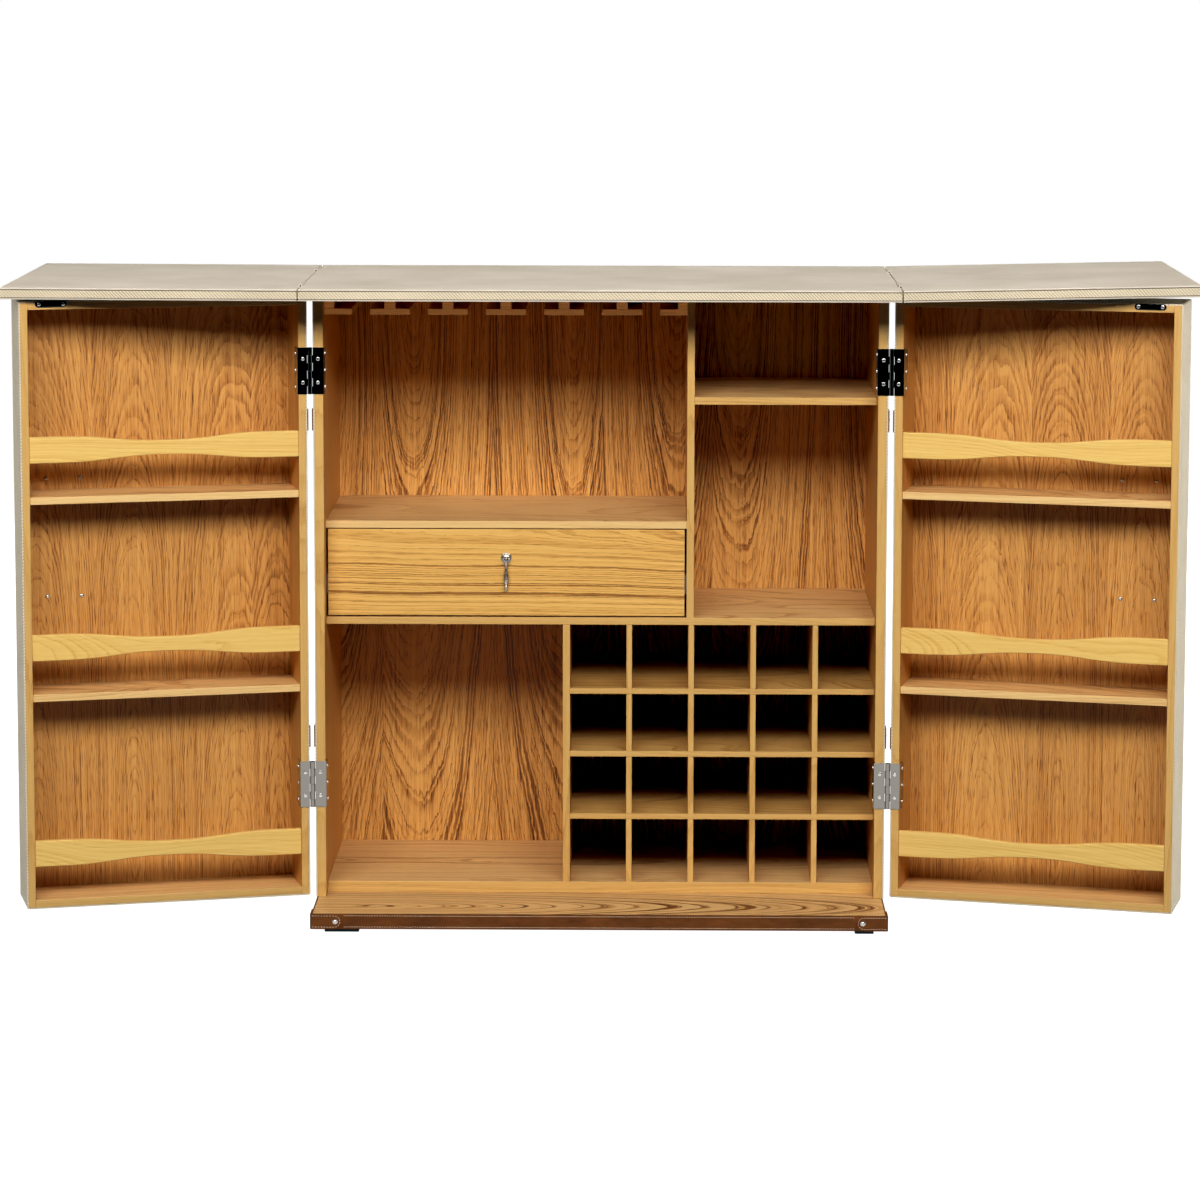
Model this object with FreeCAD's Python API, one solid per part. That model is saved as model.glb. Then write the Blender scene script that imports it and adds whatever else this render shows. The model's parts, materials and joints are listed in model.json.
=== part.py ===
import FreeCAD, Part
import math
import os
from FreeCAD import Vector

# Bar chest that opens into a counter: two deep doors with bottle shelves, two folding top leaves.
# Lengths are millimetres and angles are degrees. +Z is up and the front faces -Y.
# The origin is on the floor, under the middle of the counter top.

# Chest as a whole
body_width = 920.0
body_depth = 370.0
top_height = 1030.0
cover = 2.5

# Counter top: a fixed centre board and two leaves that fold over onto it
top_thickness = 18.5
top_depth = 516.0
top_side_overhang = 13.0
top_back_overhang = 18.0
top_edge_round = 2.5
seam_gap = 1.5
leaf_meeting_gap = 14.0
left_leaf_rise = 0.2
right_leaf_rise = 1.2

# Top hinges, let into the seams
seam_hinge_length = 75.0
seam_hinge_place = 157.0
seam_hinge_plate = 1.5
seam_hinge_drop = 13.0
seam_barrel_radius = 2.8
seam_pin_radius = 1.4
seam_axis_rise = 0.75
seam_knuckles = 3
mortise_clearance = 0.3

# Plinth, its leather band and its feet
foot_height = 7.0
foot_length = 55.0
foot_width = 30.0
foot_inset = 18.0
foot_round = 2.0
plinth_height = 25.0
plinth_lip = 10.5
plinth_side_inset = 1.5
band_thickness = 2.0
tab_thickness = 2.0
corner_tab_front = 49.0
corner_tab_side = 45.0
corner_rivet_place = 38.0

# Carcass boards
side_board = 14.0
back_board = 11.5
carcass_top_board = 10.0
floor_board = 18.0
shelf_board = 12.0
divider_board = 12.0
shelf_setback = 36.0
middle_shelf_height = 486.0
drawer_bay_height = 145.0
right_bay_height = 157.0
upper_divider_place = 145.0
lower_divider_place = -55.0

# Bottle rack: cross-lapped boards
rack_board = 9.2
rack_columns = 5
rack_rows = 4
rack_middle_cell = 94.0
lap_clearance = 0.1

# Rails that stemmed glasses hang from
glass_rail_count = 5
glass_slat_width = 64.5
glass_slat_thickness = 9.5
glass_slot = 28.7
glass_stem_width = 17.8
glass_wall_stem_width = 15.5
glass_stem_height = 15.5

# Drawer and its runners
drawer_front_board = 16.0
drawer_side_gap = 3.0
drawer_top_gap = 1.5
drawer_bottom_gap = 2.5
drawer_board = 12.0
drawer_base_board = 6.0
drawer_box_headroom = 31.5
drawer_box_rise = 8.0
drawer_back_gap = 19.0
drawer_base_rise = 10.0
runner_space = 13.0
runner_height = 32.0
runner_depth = 9.0
runner_web = 1.5
runner_lip = 2.0
runner_back_gap = 23.7
runner_rise = 36.0
runner_clearance = 0.3

# Drop pull on the drawer
pull_rise = 94.0
rosette_radius = 8.8
rosette_thickness = 2.4
post_radius = 2.5
post_length = 6.8
pull_pin_radius = 1.0
pull_clearance = 0.05
ear_thickness = 1.5
ear_radius = 2.7
ear_clearance = 0.25
ear_drop = 6.5
drop_length = 53.5
drop_radius = 4.25
drop_profile_shares = (
    (0.62, 0.10),
    (0.50, 0.24),
    (0.66, 0.46),
    (1.00, 0.64),
    (0.80, 0.74),
    (0.46, 0.80),
    (0.72, 0.845),
    (0.50, 0.885),
    (0.62, 0.925),
)

# Doors: deep boxes, each half as wide as the body
door_gap = 4.0
rim_gap = 4.0
door_depth = 108.0
door_top_gap = 2.5
door_bottom_gap = 3.0
door_board = 11.5
door_panel = 8.0
door_shelf_board = 12.0
door_shelf_setback = 3.0
door_upper_bay = 297.5
door_lower_bay = 320.5
door_cover_round = 3.0
door_open_angle = 165.5

# Guard rails across the door shelves: full at the ends, waisted in the middle
guard_rise = 54.0
guard_end_height = 42.0
guard_waist_height = 23.0
guard_board = 10.0
guard_flat_share = 0.1

# Door hinges: plates that wrap from the rim on to the inner wall
hinge_height = 75.0
upper_hinge_drop = 119.5
lower_hinge_rise = 183.0
hinge_plate = 1.6
hinge_offset = 4.5
hinge_barrel_radius = 3.9
hinge_pin_radius = 1.8
hinge_knuckles = 6
knuckle_clearance = 0.2
pin_clearance = 0.05
flange_reach = 28.0
flange_corner = 7.0
screw_radius = 3.0
screw_clearance = 0.05
screw_head = 1.2
rim_screw_spread = 38.0
flange_screw_spread = 54.0
flange_screw_place = 18.0

# Magnetic catches in the carcass top and their strike plates on the doors
strike_length = 50.0
strike_height = 10.0
strike_plate = 2.0
strike_place = 51.0
strike_screw_spread = 38.0
magnet_length = 30.0
magnet_height = 8.0
magnet_depth = 12.0
magnet_gap = 0.3

# Leather tabs beside the door seams
side_tab_height = 35.0
side_tab_length = 40.0
upper_tab_place = 79.0
lower_tab_place = 78.0
side_rivet_place = 25.0
rivet_radius = 4.35
rivet_head = 1.8

# Carrying handles on the outside of the doors
handle_place = 77.5
handle_drop = 389.0
handle_bolt_rows = 192.0
handle_bolt_spread = 55.0
handle_width = 32.0
handle_strap = 6.0
handle_foot = 44.0
handle_bow = 18.0
cap_width = 74.0
cap_height = 34.0
cap_plate = 2.0
cap_clearance = 0.3
bolt_radius = 2.0
bolt_head_radius = 3.6
bolt_head = 1.6
bolt_clearance = 0.1

# One overrun serves all cuts
overrun = 1.0

# Places worked out from the sizes
up = Vector(0, 0, 1)
across = Vector(1, 0, 0)
back = Vector(0, 1, 0)
half_body = body_width / 2
top_back = top_depth / 2
body_back = top_back - top_back_overhang
body_front = body_back - body_depth
top_underside = top_height - top_thickness
top_half = half_body + top_side_overhang
leaf_length = top_half - leaf_meeting_gap / 2
seam_axis_x = top_half + seam_gap / 2
seam_axis_z = top_height + seam_axis_rise
plinth_top = foot_height + plinth_height
plinth_half = half_body - plinth_side_inset - band_thickness
plinth_back = body_back - band_thickness
inner_half = half_body - cover - side_board
inner_back = body_back - cover - back_board
inner_top = top_underside - carcass_top_board
inner_front = body_front + shelf_setback
floor_top = plinth_top + floor_board
middle_shelf_bottom = middle_shelf_height - shelf_board
drawer_shelf_bottom = middle_shelf_height + drawer_bay_height
drawer_shelf_height = drawer_shelf_bottom + shelf_board
right_shelf_height = inner_top - right_bay_height
upper_divider_left = upper_divider_place - divider_board / 2
upper_divider_right = upper_divider_place + divider_board / 2
lower_divider_right = lower_divider_place + divider_board / 2
hinge_axis_x = half_body + hinge_offset
hinge_axis_y = body_front - rim_gap / 2
door_rim = body_front - rim_gap
door_face = door_rim - door_depth
plinth_front = door_face - plinth_lip + band_thickness
door_free = door_gap / 2
door_bottom = plinth_top + door_bottom_gap
door_top = top_underside - door_top_gap
door_inner_hinge = half_body - cover - door_board
door_inner_free = door_free + cover + door_board
door_floor_top = door_bottom + cover + door_board
door_inner_top = door_top - cover - door_board
door_panel_face = door_face + cover + door_panel
door_upper_shelf_height = door_inner_top - door_upper_bay
door_lower_shelf_height = door_floor_top + door_lower_bay + door_shelf_board
upper_hinge_height = door_top - upper_hinge_drop
lower_hinge_height = door_bottom + lower_hinge_rise
upper_tab_height = upper_hinge_height - upper_tab_place
lower_tab_height = lower_hinge_height + lower_tab_place
handle_middle_height = door_top - handle_drop
strike_middle = door_free + strike_place
strike_z = door_top - strike_height / 2


# Block between two limits on each axis
def block(x, y, z):
    low = Vector(min(x), min(y), min(z))
    size = Vector(max(x), max(y), max(z)) - low
    return Part.makeBox(size.x, size.y, size.z, low)


# Solid between a flat outline of edges and its copy moved by depth
def prism(edges, depth):
    return Part.Face(Part.Wire(edges)).extrude(depth)


# Closed run of straight edges through the corners
def polygon(corners):
    return Part.makePolygon(list(corners) + [corners[0]]).Edges


# S-shaped edge that leaves and arrives along the given direction
def s_curve(start, end, direction):
    half = direction * ((end - start).dot(direction) / 2)
    curve = Part.BezierCurve()
    curve.setPoles([start, start + half, end - half, end])
    return curve.toShape()


# One solid out of several that touch or overlap
def joined(first, *others):
    return first.fuse(list(others)).removeSplitter().Solids[0]


# Spherical head on a flat, standing along the given direction
def dome(centre, direction, radius, height):
    sphere_radius = (radius ** 2 + height ** 2) / (2 * height)
    cut = math.degrees(math.asin((sphere_radius - height) / sphere_radius))
    base = centre - direction * (sphere_radius - height)
    return Part.makeSphere(sphere_radius, base, direction, cut, 90)


# Strip with a round end, lying in the plane of its length and width directions
def round_ended(start, along, length, width_way, width, depth):
    low = start - width_way * (width / 2)
    high = start + width_way * (width / 2)
    run = along * (length - width / 2)
    tip = start + along * length
    edges = [
        Part.makeLine(high, low),
        Part.makeLine(low, low + run),
        Part.Arc(low + run, tip, high + run).toShape(),
        Part.makeLine(high + run, high),
    ]
    return prism(edges, depth)


# Door piece turned from shut to standing open
def swung(shape, side):
    turned = shape.copy()
    turned.rotate(Vector(side * hinge_axis_x, hinge_axis_y, 0), up, side * door_open_angle)
    return turned


# Leaf piece tipped by its small rise above level
def tipped(shape, side):
    turned = shape.copy()
    rise = right_leaf_rise if side > 0 else left_leaf_rise
    turned.rotate(Vector(side * seam_axis_x, 0, seam_axis_z), back, -side * rise)
    return turned


def is_upright(edge):
    start, end = (v.Point for v in edge.Vertexes)
    return abs(start.z - end.z) > abs(start.x - end.x) + abs(start.y - end.y)


def runs_along_x(edge):
    start, end = (v.Point for v in edge.Vertexes)
    return abs(start.x - end.x) > abs(start.y - end.y) + abs(start.z - end.z)


def save(node, solids):
    shape = solids[0] if len(solids) == 1 else Part.makeCompound(solids)
    shape.exportStep(f"parts/{node}.step")


# Plinth board, leather band round it and feet
def make_base():
    board_z = (foot_height, plinth_top)
    band_half = plinth_half + band_thickness
    band_front = plinth_front - band_thickness
    save("plinth", [block((-plinth_half, plinth_half), (plinth_front, plinth_back), board_z)])
    outer = block((-band_half, band_half), (band_front, plinth_back + band_thickness), board_z)
    inner_z = (foot_height - overrun, plinth_top + overrun)
    inner = block((-plinth_half, plinth_half), (plinth_front, plinth_back), inner_z)
    save("plinth_band", [outer.cut(inner)])
    feet = []
    for side in (-1, 1):
        for end in (-1, 1):
            length, width = (foot_length, foot_width) if side < 0 else (foot_width, foot_length)
            x = side * (plinth_half - foot_inset)
            y = plinth_front + foot_inset if end < 0 else plinth_back - foot_inset
            foot = block((x, x - side * length), (y, y - end * width), (0, foot_height))
            feet.append(foot.makeFillet(foot_round, [e for e in foot.Edges if is_upright(e)]))
    save("feet", feet)


# Leather tabs that wrap the plinth's corners and hold the body's sides, with their rivets
def make_body_leather():
    tabs = []
    rivets = []
    middle = foot_height + plinth_height / 2
    reach_x = plinth_half + band_thickness
    for side in (-1, 1):
        for end in (-1, 1):
            face_y = plinth_front - band_thickness if end < 0 else plinth_back + band_thickness
            corner = Vector(side * reach_x, face_y, middle)
            inward = across * -side
            along = back * -end
            outward = back * end
            sideward = across * side
            depth = outward * tab_thickness
            front = round_ended(corner, inward, corner_tab_front, up, plinth_height, depth)
            beyond = corner + depth
            depth = sideward * tab_thickness
            flank = round_ended(beyond, along, corner_tab_side, up, plinth_height, depth)
            tabs.append(joined(front, flank))
            front_rivet = beyond + inward * corner_rivet_place
            flank_rivet = corner + depth + along * corner_rivet_place
            rivets.append(dome(front_rivet, outward, rivet_radius, rivet_head))
            rivets.append(dome(flank_rivet, sideward, rivet_radius, rivet_head))
        for height in (upper_tab_height, lower_tab_height):
            tab, rivet = side_tab(side, body_front, back, height)
            tabs.append(tab)
            rivets.append(rivet)
    save("leather_tabs", tabs)
    save("tab_rivets", rivets)


# Tab on an outer side face, from the seam edge along the given way, and its rivet
def side_tab(side, seam_y, way, height):
    outward = across * side
    edge = Vector(side * half_body, seam_y, height)
    tab = round_ended(edge, way, side_tab_length, up, side_tab_height, outward * tab_thickness)
    rivet_centre = edge + way * side_rivet_place + outward * tab_thickness
    return tab, dome(rivet_centre, outward, rivet_radius, rivet_head)


# Outer boards of the carcass and the covering on them
def make_carcass():
    depth = (body_front, body_back - cover)
    height = (plinth_top, top_underside)
    covers = [block((-half_body + cover, half_body - cover), (body_back - cover, body_back), height)]
    for side, name in ((-1, "left_side"), (1, "right_side")):
        outer = side * (half_body - cover)
        save(name, [block((outer, side * inner_half), depth, height)])
        covers.append(block((side * half_body, outer), (body_front, body_back), height))
    save("body_cover", covers)
    save("back_panel", [block((-inner_half, inner_half), (inner_back, body_back - cover), height)])
    ceiling = block((-inner_half, inner_half), (body_front, inner_back), (inner_top, top_underside))
    magnets = []
    for side in (-1, 1):
        low = side * strike_middle - magnet_length / 2
        x = (low, low + magnet_length)
        z_low = inner_top + (carcass_top_board - magnet_height) / 2
        z = (z_low, z_low + magnet_height)
        proud = body_front - rim_gap + strike_plate + magnet_gap
        magnets.append(block(x, (proud, body_front + magnet_depth), z))
        ceiling = ceiling.cut(block(x, (body_front - overrun, body_front + magnet_depth), z))
    save("carcass_top", [ceiling])
    save("magnet_catches", magnets)
    save("floor_panel", [board((-inner_half, inner_half), (plinth_top, floor_top))])


# Inner board that runs from the set-back front to the back panel
def board(x, z):
    return block(x, (inner_front, inner_back), z)


# Fixed shelves and dividers
def make_fittings():
    middle_z = (middle_shelf_bottom, middle_shelf_height)
    save("middle_shelf", [board((-inner_half, inner_half), middle_z)])
    upper_x = (upper_divider_left, upper_divider_right)
    save("upper_divider", [board(upper_x, (middle_shelf_height, inner_top))])
    drawer_z = (drawer_shelf_bottom, drawer_shelf_height)
    save("drawer_shelf", [board((-inner_half, upper_divider_left), drawer_z)])
    right_z = (right_shelf_height - shelf_board, right_shelf_height)
    save("right_shelf", [board((upper_divider_right, inner_half), right_z)])
    lower_left = lower_divider_right - divider_board
    save("lower_divider", [board((lower_left, lower_divider_right), (floor_top, middle_shelf_bottom))])


# Bottle rack: the shelves are slotted from behind, the uprights from the front
def make_rack():
    width = inner_half - lower_divider_right
    height = middle_shelf_bottom - floor_top
    cell_width = (width - (rack_columns - 1) * rack_board) / rack_columns
    boards = rack_rows - 1
    outer_cell = (height - boards * rack_board - (boards - 1) * rack_middle_cell) / 2
    lap = (inner_front + inner_back) / 2
    first_x = lower_divider_right + cell_width
    upright_x = [first_x + i * (cell_width + rack_board) for i in range(rack_columns - 1)]
    shelf_z = [floor_top + outer_cell + i * (rack_middle_cell + rack_board) for i in range(boards)]
    shelves = []
    for z in shelf_z:
        shelf = board((lower_divider_right, inner_half), (z, z + rack_board))
        for x in upright_x:
            slot_x = (x - lap_clearance, x + rack_board + lap_clearance)
            slot_z = (z - overrun, z + rack_board + overrun)
            shelf = shelf.cut(block(slot_x, (lap, inner_back + overrun), slot_z))
        shelves.append(shelf)
    uprights = []
    for x in upright_x:
        upright = board((x, x + rack_board), (floor_top, middle_shelf_bottom))
        for z in shelf_z:
            slot_z = (z - lap_clearance, z + rack_board + lap_clearance)
            slot_x = (x - overrun, x + rack_board + overrun)
            upright = upright.cut(block(slot_x, (inner_front - overrun, lap), slot_z))
        uprights.append(upright)
    save("rack_shelves", shelves)
    save("rack_uprights", uprights)


# T-shaped rails under the carcass top, and half rails along the bay's two walls
def make_glass_rails():
    stem_z = (inner_top - glass_stem_height, inner_top)
    slat_z = (stem_z[0] - glass_slat_thickness, stem_z[0])
    middle = (upper_divider_left - inner_half) / 2
    pitch = glass_slat_width + glass_slot
    rails = []
    for i in range(glass_rail_count):
        x = middle + (i - (glass_rail_count - 1) / 2) * pitch
        rails.append(board((x - glass_slat_width / 2, x + glass_slat_width / 2), slat_z))
        rails.append(board((x - glass_stem_width / 2, x + glass_stem_width / 2), stem_z))
    used = glass_rail_count * glass_slat_width + (glass_rail_count + 1) * glass_slot
    wall_slat = (upper_divider_left + inner_half - used) / 2
    for wall, way in ((-inner_half, 1), (upper_divider_left, -1)):
        rails.append(board((wall, wall + way * wall_slat), slat_z))
        rails.append(board((wall, wall + way * glass_wall_stem_width), stem_z))
    save("glass_rails", rails)


# Fixed counter board and the two leaves, with mortises for their hinges
def make_top():
    y = (-top_back, top_back)
    z = (top_underside, top_height)
    centre = rounded_top(block((-top_half, top_half), y, z), runs_along_x)
    for side, name in ((-1, "left_leaf"), (1, "right_leaf")):
        near = side * (top_half + seam_gap)
        far = near + side * leaf_length
        leaf = block((near, far), y, z)
        leaf = rounded_top(leaf, lambda e: runs_along_x(e) or at_x(e, far))
        for place in (-seam_hinge_place, seam_hinge_place):
            cut = seam_mortise(side, place)
            leaf = leaf.cut(cut)
            centre = centre.cut(cut)
        save(name, [tipped(leaf, side)])
    save("centre_top", [centre])


def rounded_top(solid, wanted):
    return solid.makeFillet(top_edge_round, [e for e in solid.Edges if wanted(e)])


def at_x(edge, x):
    return abs(edge.CenterOfMass.x - x) < top_edge_round / 2


# Room in both boards for the plates and the barrel of a seam hinge
def seam_mortise(side, place):
    reach = seam_gap / 2 + seam_hinge_plate
    half = seam_hinge_length / 2 + mortise_clearance
    x = side * seam_axis_x
    y = (place - half, place + half)
    plates = block((x - reach, x + reach), y, (top_height - seam_hinge_drop, top_height + overrun))
    radius = seam_barrel_radius + mortise_clearance
    barrel = Part.makeCylinder(radius, 2 * half, Vector(x, place - half, seam_axis_z), back)
    return plates.fuse(barrel)


# Half of a seam hinge: a plate on its board's edge and every other knuckle
def seam_hinge(side, place, on_leaf):
    way = side if on_leaf else -side
    x = side * seam_axis_x
    y_low = place - seam_hinge_length / 2
    near = x + way * seam_gap / 2
    plate_x = (near, near + way * seam_hinge_plate)
    plate_z = (top_height - seam_hinge_drop, seam_axis_z)
    half = block(plate_x, (y_low, y_low + seam_hinge_length), plate_z)
    pitch = seam_hinge_length / seam_knuckles
    own = 1 if on_leaf else 0
    for i in range(seam_knuckles):
        low = y_low + i * pitch
        if i % 2 == own:
            start = Vector(x, low + knuckle_clearance / 2, seam_axis_z)
            length = pitch - knuckle_clearance
            half = half.fuse(Part.makeCylinder(seam_barrel_radius, length, start, back))
        else:
            start = Vector(x, low - knuckle_clearance / 2, seam_axis_z)
            room = seam_barrel_radius + knuckle_clearance
            half = half.cut(Part.makeCylinder(room, pitch + knuckle_clearance, start, back))
    bore_start = Vector(x, y_low - overrun, seam_axis_z)
    bore_length = seam_hinge_length + 2 * overrun
    bore = Part.makeCylinder(seam_pin_radius + pin_clearance, bore_length, bore_start, back)
    return half.cut(bore).removeSplitter().Solids[0]


# Half of a door hinge in the shut pose, as an angle plate with every other knuckle
def door_hinge(side, height, on_door):
    way = -1 if on_door else 1
    rim = door_rim if on_door else body_front
    wall = door_inner_hinge if on_door else inner_half
    z_low = height - hinge_height / 2
    z = (z_low, z_low + hinge_height)
    rim_y = (rim - way * hinge_plate, rim)
    plate = block((side * (wall - hinge_plate), side * half_body), rim_y, z)
    deep = rim + way * flange_reach
    short = deep - way * flange_corner
    outline = [
        (rim, z[0]),
        (short, z[0]),
        (deep, z[0] + flange_corner),
        (deep, z[1] - flange_corner),
        (short, z[1]),
        (rim, z[1]),
    ]
    corners = [Vector(side * wall, y, level) for y, level in outline]
    flange = prism(polygon(corners), across * -side * hinge_plate)
    half = plate.fuse(flange)
    pitch = hinge_height / hinge_knuckles
    own = 1 if on_door else 0
    for i in range(own, hinge_knuckles, 2):
        low = z_low + i * pitch + knuckle_clearance / 2
        length = pitch - knuckle_clearance
        centre = Vector(side * hinge_axis_x, hinge_axis_y, low)
        tongue = block((side * (half_body - hinge_plate), side * hinge_axis_x), rim_y, (low, low + length))
        half = half.fuse([Part.makeCylinder(hinge_barrel_radius, length, centre, up), tongue])
    bore_start = Vector(side * hinge_axis_x, hinge_axis_y, z_low - overrun)
    bore = Part.makeCylinder(hinge_pin_radius + pin_clearance, hinge_height + 2 * overrun, bore_start, up)
    half = half.cut(bore)
    for screw in rim_screws(side, height, on_door, screw_radius + screw_clearance, overrun):
        half = half.cut(screw)
    return half.removeSplitter().Solids[0]


# Screw heads sunk flush in a hinge's rim plate
def rim_screws(side, height, on_door, radius, extra):
    way = -1 if on_door else 1
    rim = door_rim if on_door else body_front
    wall = door_inner_hinge if on_door else inner_half
    x = side * (wall + half_body) / 2
    start_y = rim - way * (hinge_plate + extra)
    length = hinge_plate + 2 * extra
    heads = []
    for end in (-1, 1):
        start = Vector(x, start_y, height + end * rim_screw_spread / 2)
        heads.append(Part.makeCylinder(radius, length, start, back * way))
    return heads


# Screw heads standing on a hinge's inner flange
def flange_screws(side, height, on_door):
    way = -1 if on_door else 1
    rim = door_rim if on_door else body_front
    wall = door_inner_hinge if on_door else inner_half
    heads = []
    for end in (-1, 0, 1):
        z = height + end * flange_screw_spread / 2
        start = Vector(side * (wall - hinge_plate), rim + way * flange_screw_place, z)
        heads.append(Part.makeCylinder(screw_radius, screw_head, start, across * -side))
    return heads


def all_screws(side, on_door):
    heads = []
    for height in (upper_hinge_height, lower_hinge_height):
        heads += rim_screws(side, height, on_door, screw_radius, 0)
        heads += flange_screws(side, height, on_door)
    return heads


# Fixed halves of all hinges, with the pins that they hold
def make_body_hinges():
    halves = []
    screws = []
    pins = []
    seam_halves = []
    for side in (-1, 1):
        for height in (upper_hinge_height, lower_hinge_height):
            halves.append(door_hinge(side, height, False))
            start = Vector(side * hinge_axis_x, hinge_axis_y, height - hinge_height / 2)
            pins.append(Part.makeCylinder(hinge_pin_radius, hinge_height, start, up))
        screws += all_screws(side, False)
        for place in (-seam_hinge_place, seam_hinge_place):
            seam_halves.append(seam_hinge(side, place, False))
            start = Vector(side * seam_axis_x, place - seam_hinge_length / 2, seam_axis_z)
            pins.append(Part.makeCylinder(seam_pin_radius, seam_hinge_length, start, back))
    save("body_hinges", halves)
    save("hinge_screws", screws)
    save("hinge_pins", pins)
    save("top_hinges", seam_halves)


# Moving halves of the seam hinges
def make_leaf_hinges():
    for side, name in ((-1, "left_leaf_hinges"), (1, "right_leaf_hinges")):
        places = (-seam_hinge_place, seam_hinge_place)
        save(name, [tipped(seam_hinge(side, place, True), side) for place in places])


# Drawer box, its front and the moving runner bars, with the fixed channels that carry them
def make_drawer():
    bay = (-inner_half, upper_divider_left)
    front_y = (inner_front, inner_front + drawer_front_board)
    front_x = (bay[0] + drawer_side_gap, bay[1] - drawer_side_gap)
    front_z = (middle_shelf_height + drawer_bottom_gap, drawer_shelf_bottom - drawer_top_gap)
    save("drawer_front", [block(front_x, front_y, front_z)])
    box_x = (bay[0] + runner_space, bay[1] - runner_space)
    box_y = (front_y[1], inner_back - drawer_back_gap)
    box_low = middle_shelf_height + drawer_box_rise
    box_z = (box_low, drawer_shelf_bottom - drawer_box_headroom)
    inside_x = (box_x[0] + drawer_board, box_x[1] - drawer_board)
    walls = [block((box_x[i], inside_x[i]), box_y, box_z) for i in (0, 1)]
    walls.append(block(inside_x, (box_y[1] - drawer_board, box_y[1]), box_z))
    save("drawer_box", walls)
    base_low = box_low + drawer_base_rise
    base_y = (box_y[0], box_y[1] - drawer_board)
    save("drawer_base", [block(inside_x, base_y, (base_low, base_low + drawer_base_board))])
    channels = []
    bars = []
    run_y = (front_y[1] + runner_clearance, inner_back - runner_back_gap)
    run_low = middle_shelf_height + runner_rise
    run_z = (run_low, run_low + runner_height)
    groove_z = (run_z[0] + runner_lip, run_z[1] - runner_lip)
    bar_z = (groove_z[0] + runner_clearance, groove_z[1] - runner_clearance)
    for wall, way, box_side in ((bay[0], 1, box_x[0]), (bay[1], -1, box_x[1])):
        web = wall + way * runner_web
        mouth = wall + way * runner_depth
        channel = block((wall, mouth), run_y, run_z)
        groove_y = (run_y[0] - overrun, run_y[1] + overrun)
        channels.append(channel.cut(block((web, mouth + way * overrun), groove_y, groove_z)))
        bars.append(block((web + way * runner_clearance, box_side), run_y, bar_z))
    save("drawer_runners", channels)
    save("drawer_bars", bars)


# Rosette and post of the drawer pull, and the drop that hangs on the post by its own pin
def make_pull():
    middle_x = (upper_divider_left - inner_half) / 2
    pivot_z = middle_shelf_height + drawer_bottom_gap + pull_rise
    face = Vector(middle_x, inner_front, pivot_z)
    forward = back * -1
    plate = dome(face, forward, rosette_radius, rosette_thickness)
    pivot = face + forward * post_length
    post = Part.makeCylinder(post_radius, post_length, face, forward)
    knob = Part.makeSphere(post_radius, pivot)
    reach = post_radius + ear_clearance + ear_thickness
    start = pivot - across * (reach + overrun)
    hole = Part.makeCylinder(pull_pin_radius + pull_clearance, 2 * (reach + overrun), start, across)
    save("pull_rosette", [joined(plate, post, knob).cut(hole)])
    save("drop_pull", [drop_pull(pivot, reach)])


# Forked head with its pin, over a turned drop
def drop_pull(pivot, reach):
    foot = pivot - up * ear_drop - across * reach
    head_length = ear_drop + ear_radius
    head = round_ended(foot, up, head_length, back, 2 * ear_radius, across * 2 * reach)
    slot_half = post_radius + ear_clearance
    slot_x = (pivot.x - slot_half, pivot.x + slot_half)
    slot_y = (pivot.y - head_length, pivot.y + head_length)
    slot = block(slot_x, slot_y, (pivot.z - slot_half, pivot.z + head_length))
    pin = Part.makeCylinder(pull_pin_radius, 2 * reach, pivot - across * reach, across)
    outline = [Vector(r * drop_radius, 0, -h * drop_length) for r, h in drop_profile_shares]
    curve = Part.BSplineCurve()
    curve.interpolate(outline)
    tip = Vector(0, 0, -drop_length)
    top = Vector(0, 0, outline[0].z)
    edges = [
        Part.makeLine(top, outline[0]),
        curve.toShape(),
        Part.makeLine(outline[-1], tip),
        Part.makeLine(tip, top),
    ]
    drop = Part.Face(Part.Wire(edges)).revolve(Vector(0, 0, 0), up, 360)
    drop.translate(pivot)
    return joined(head.cut(slot), pin, drop)


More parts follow.
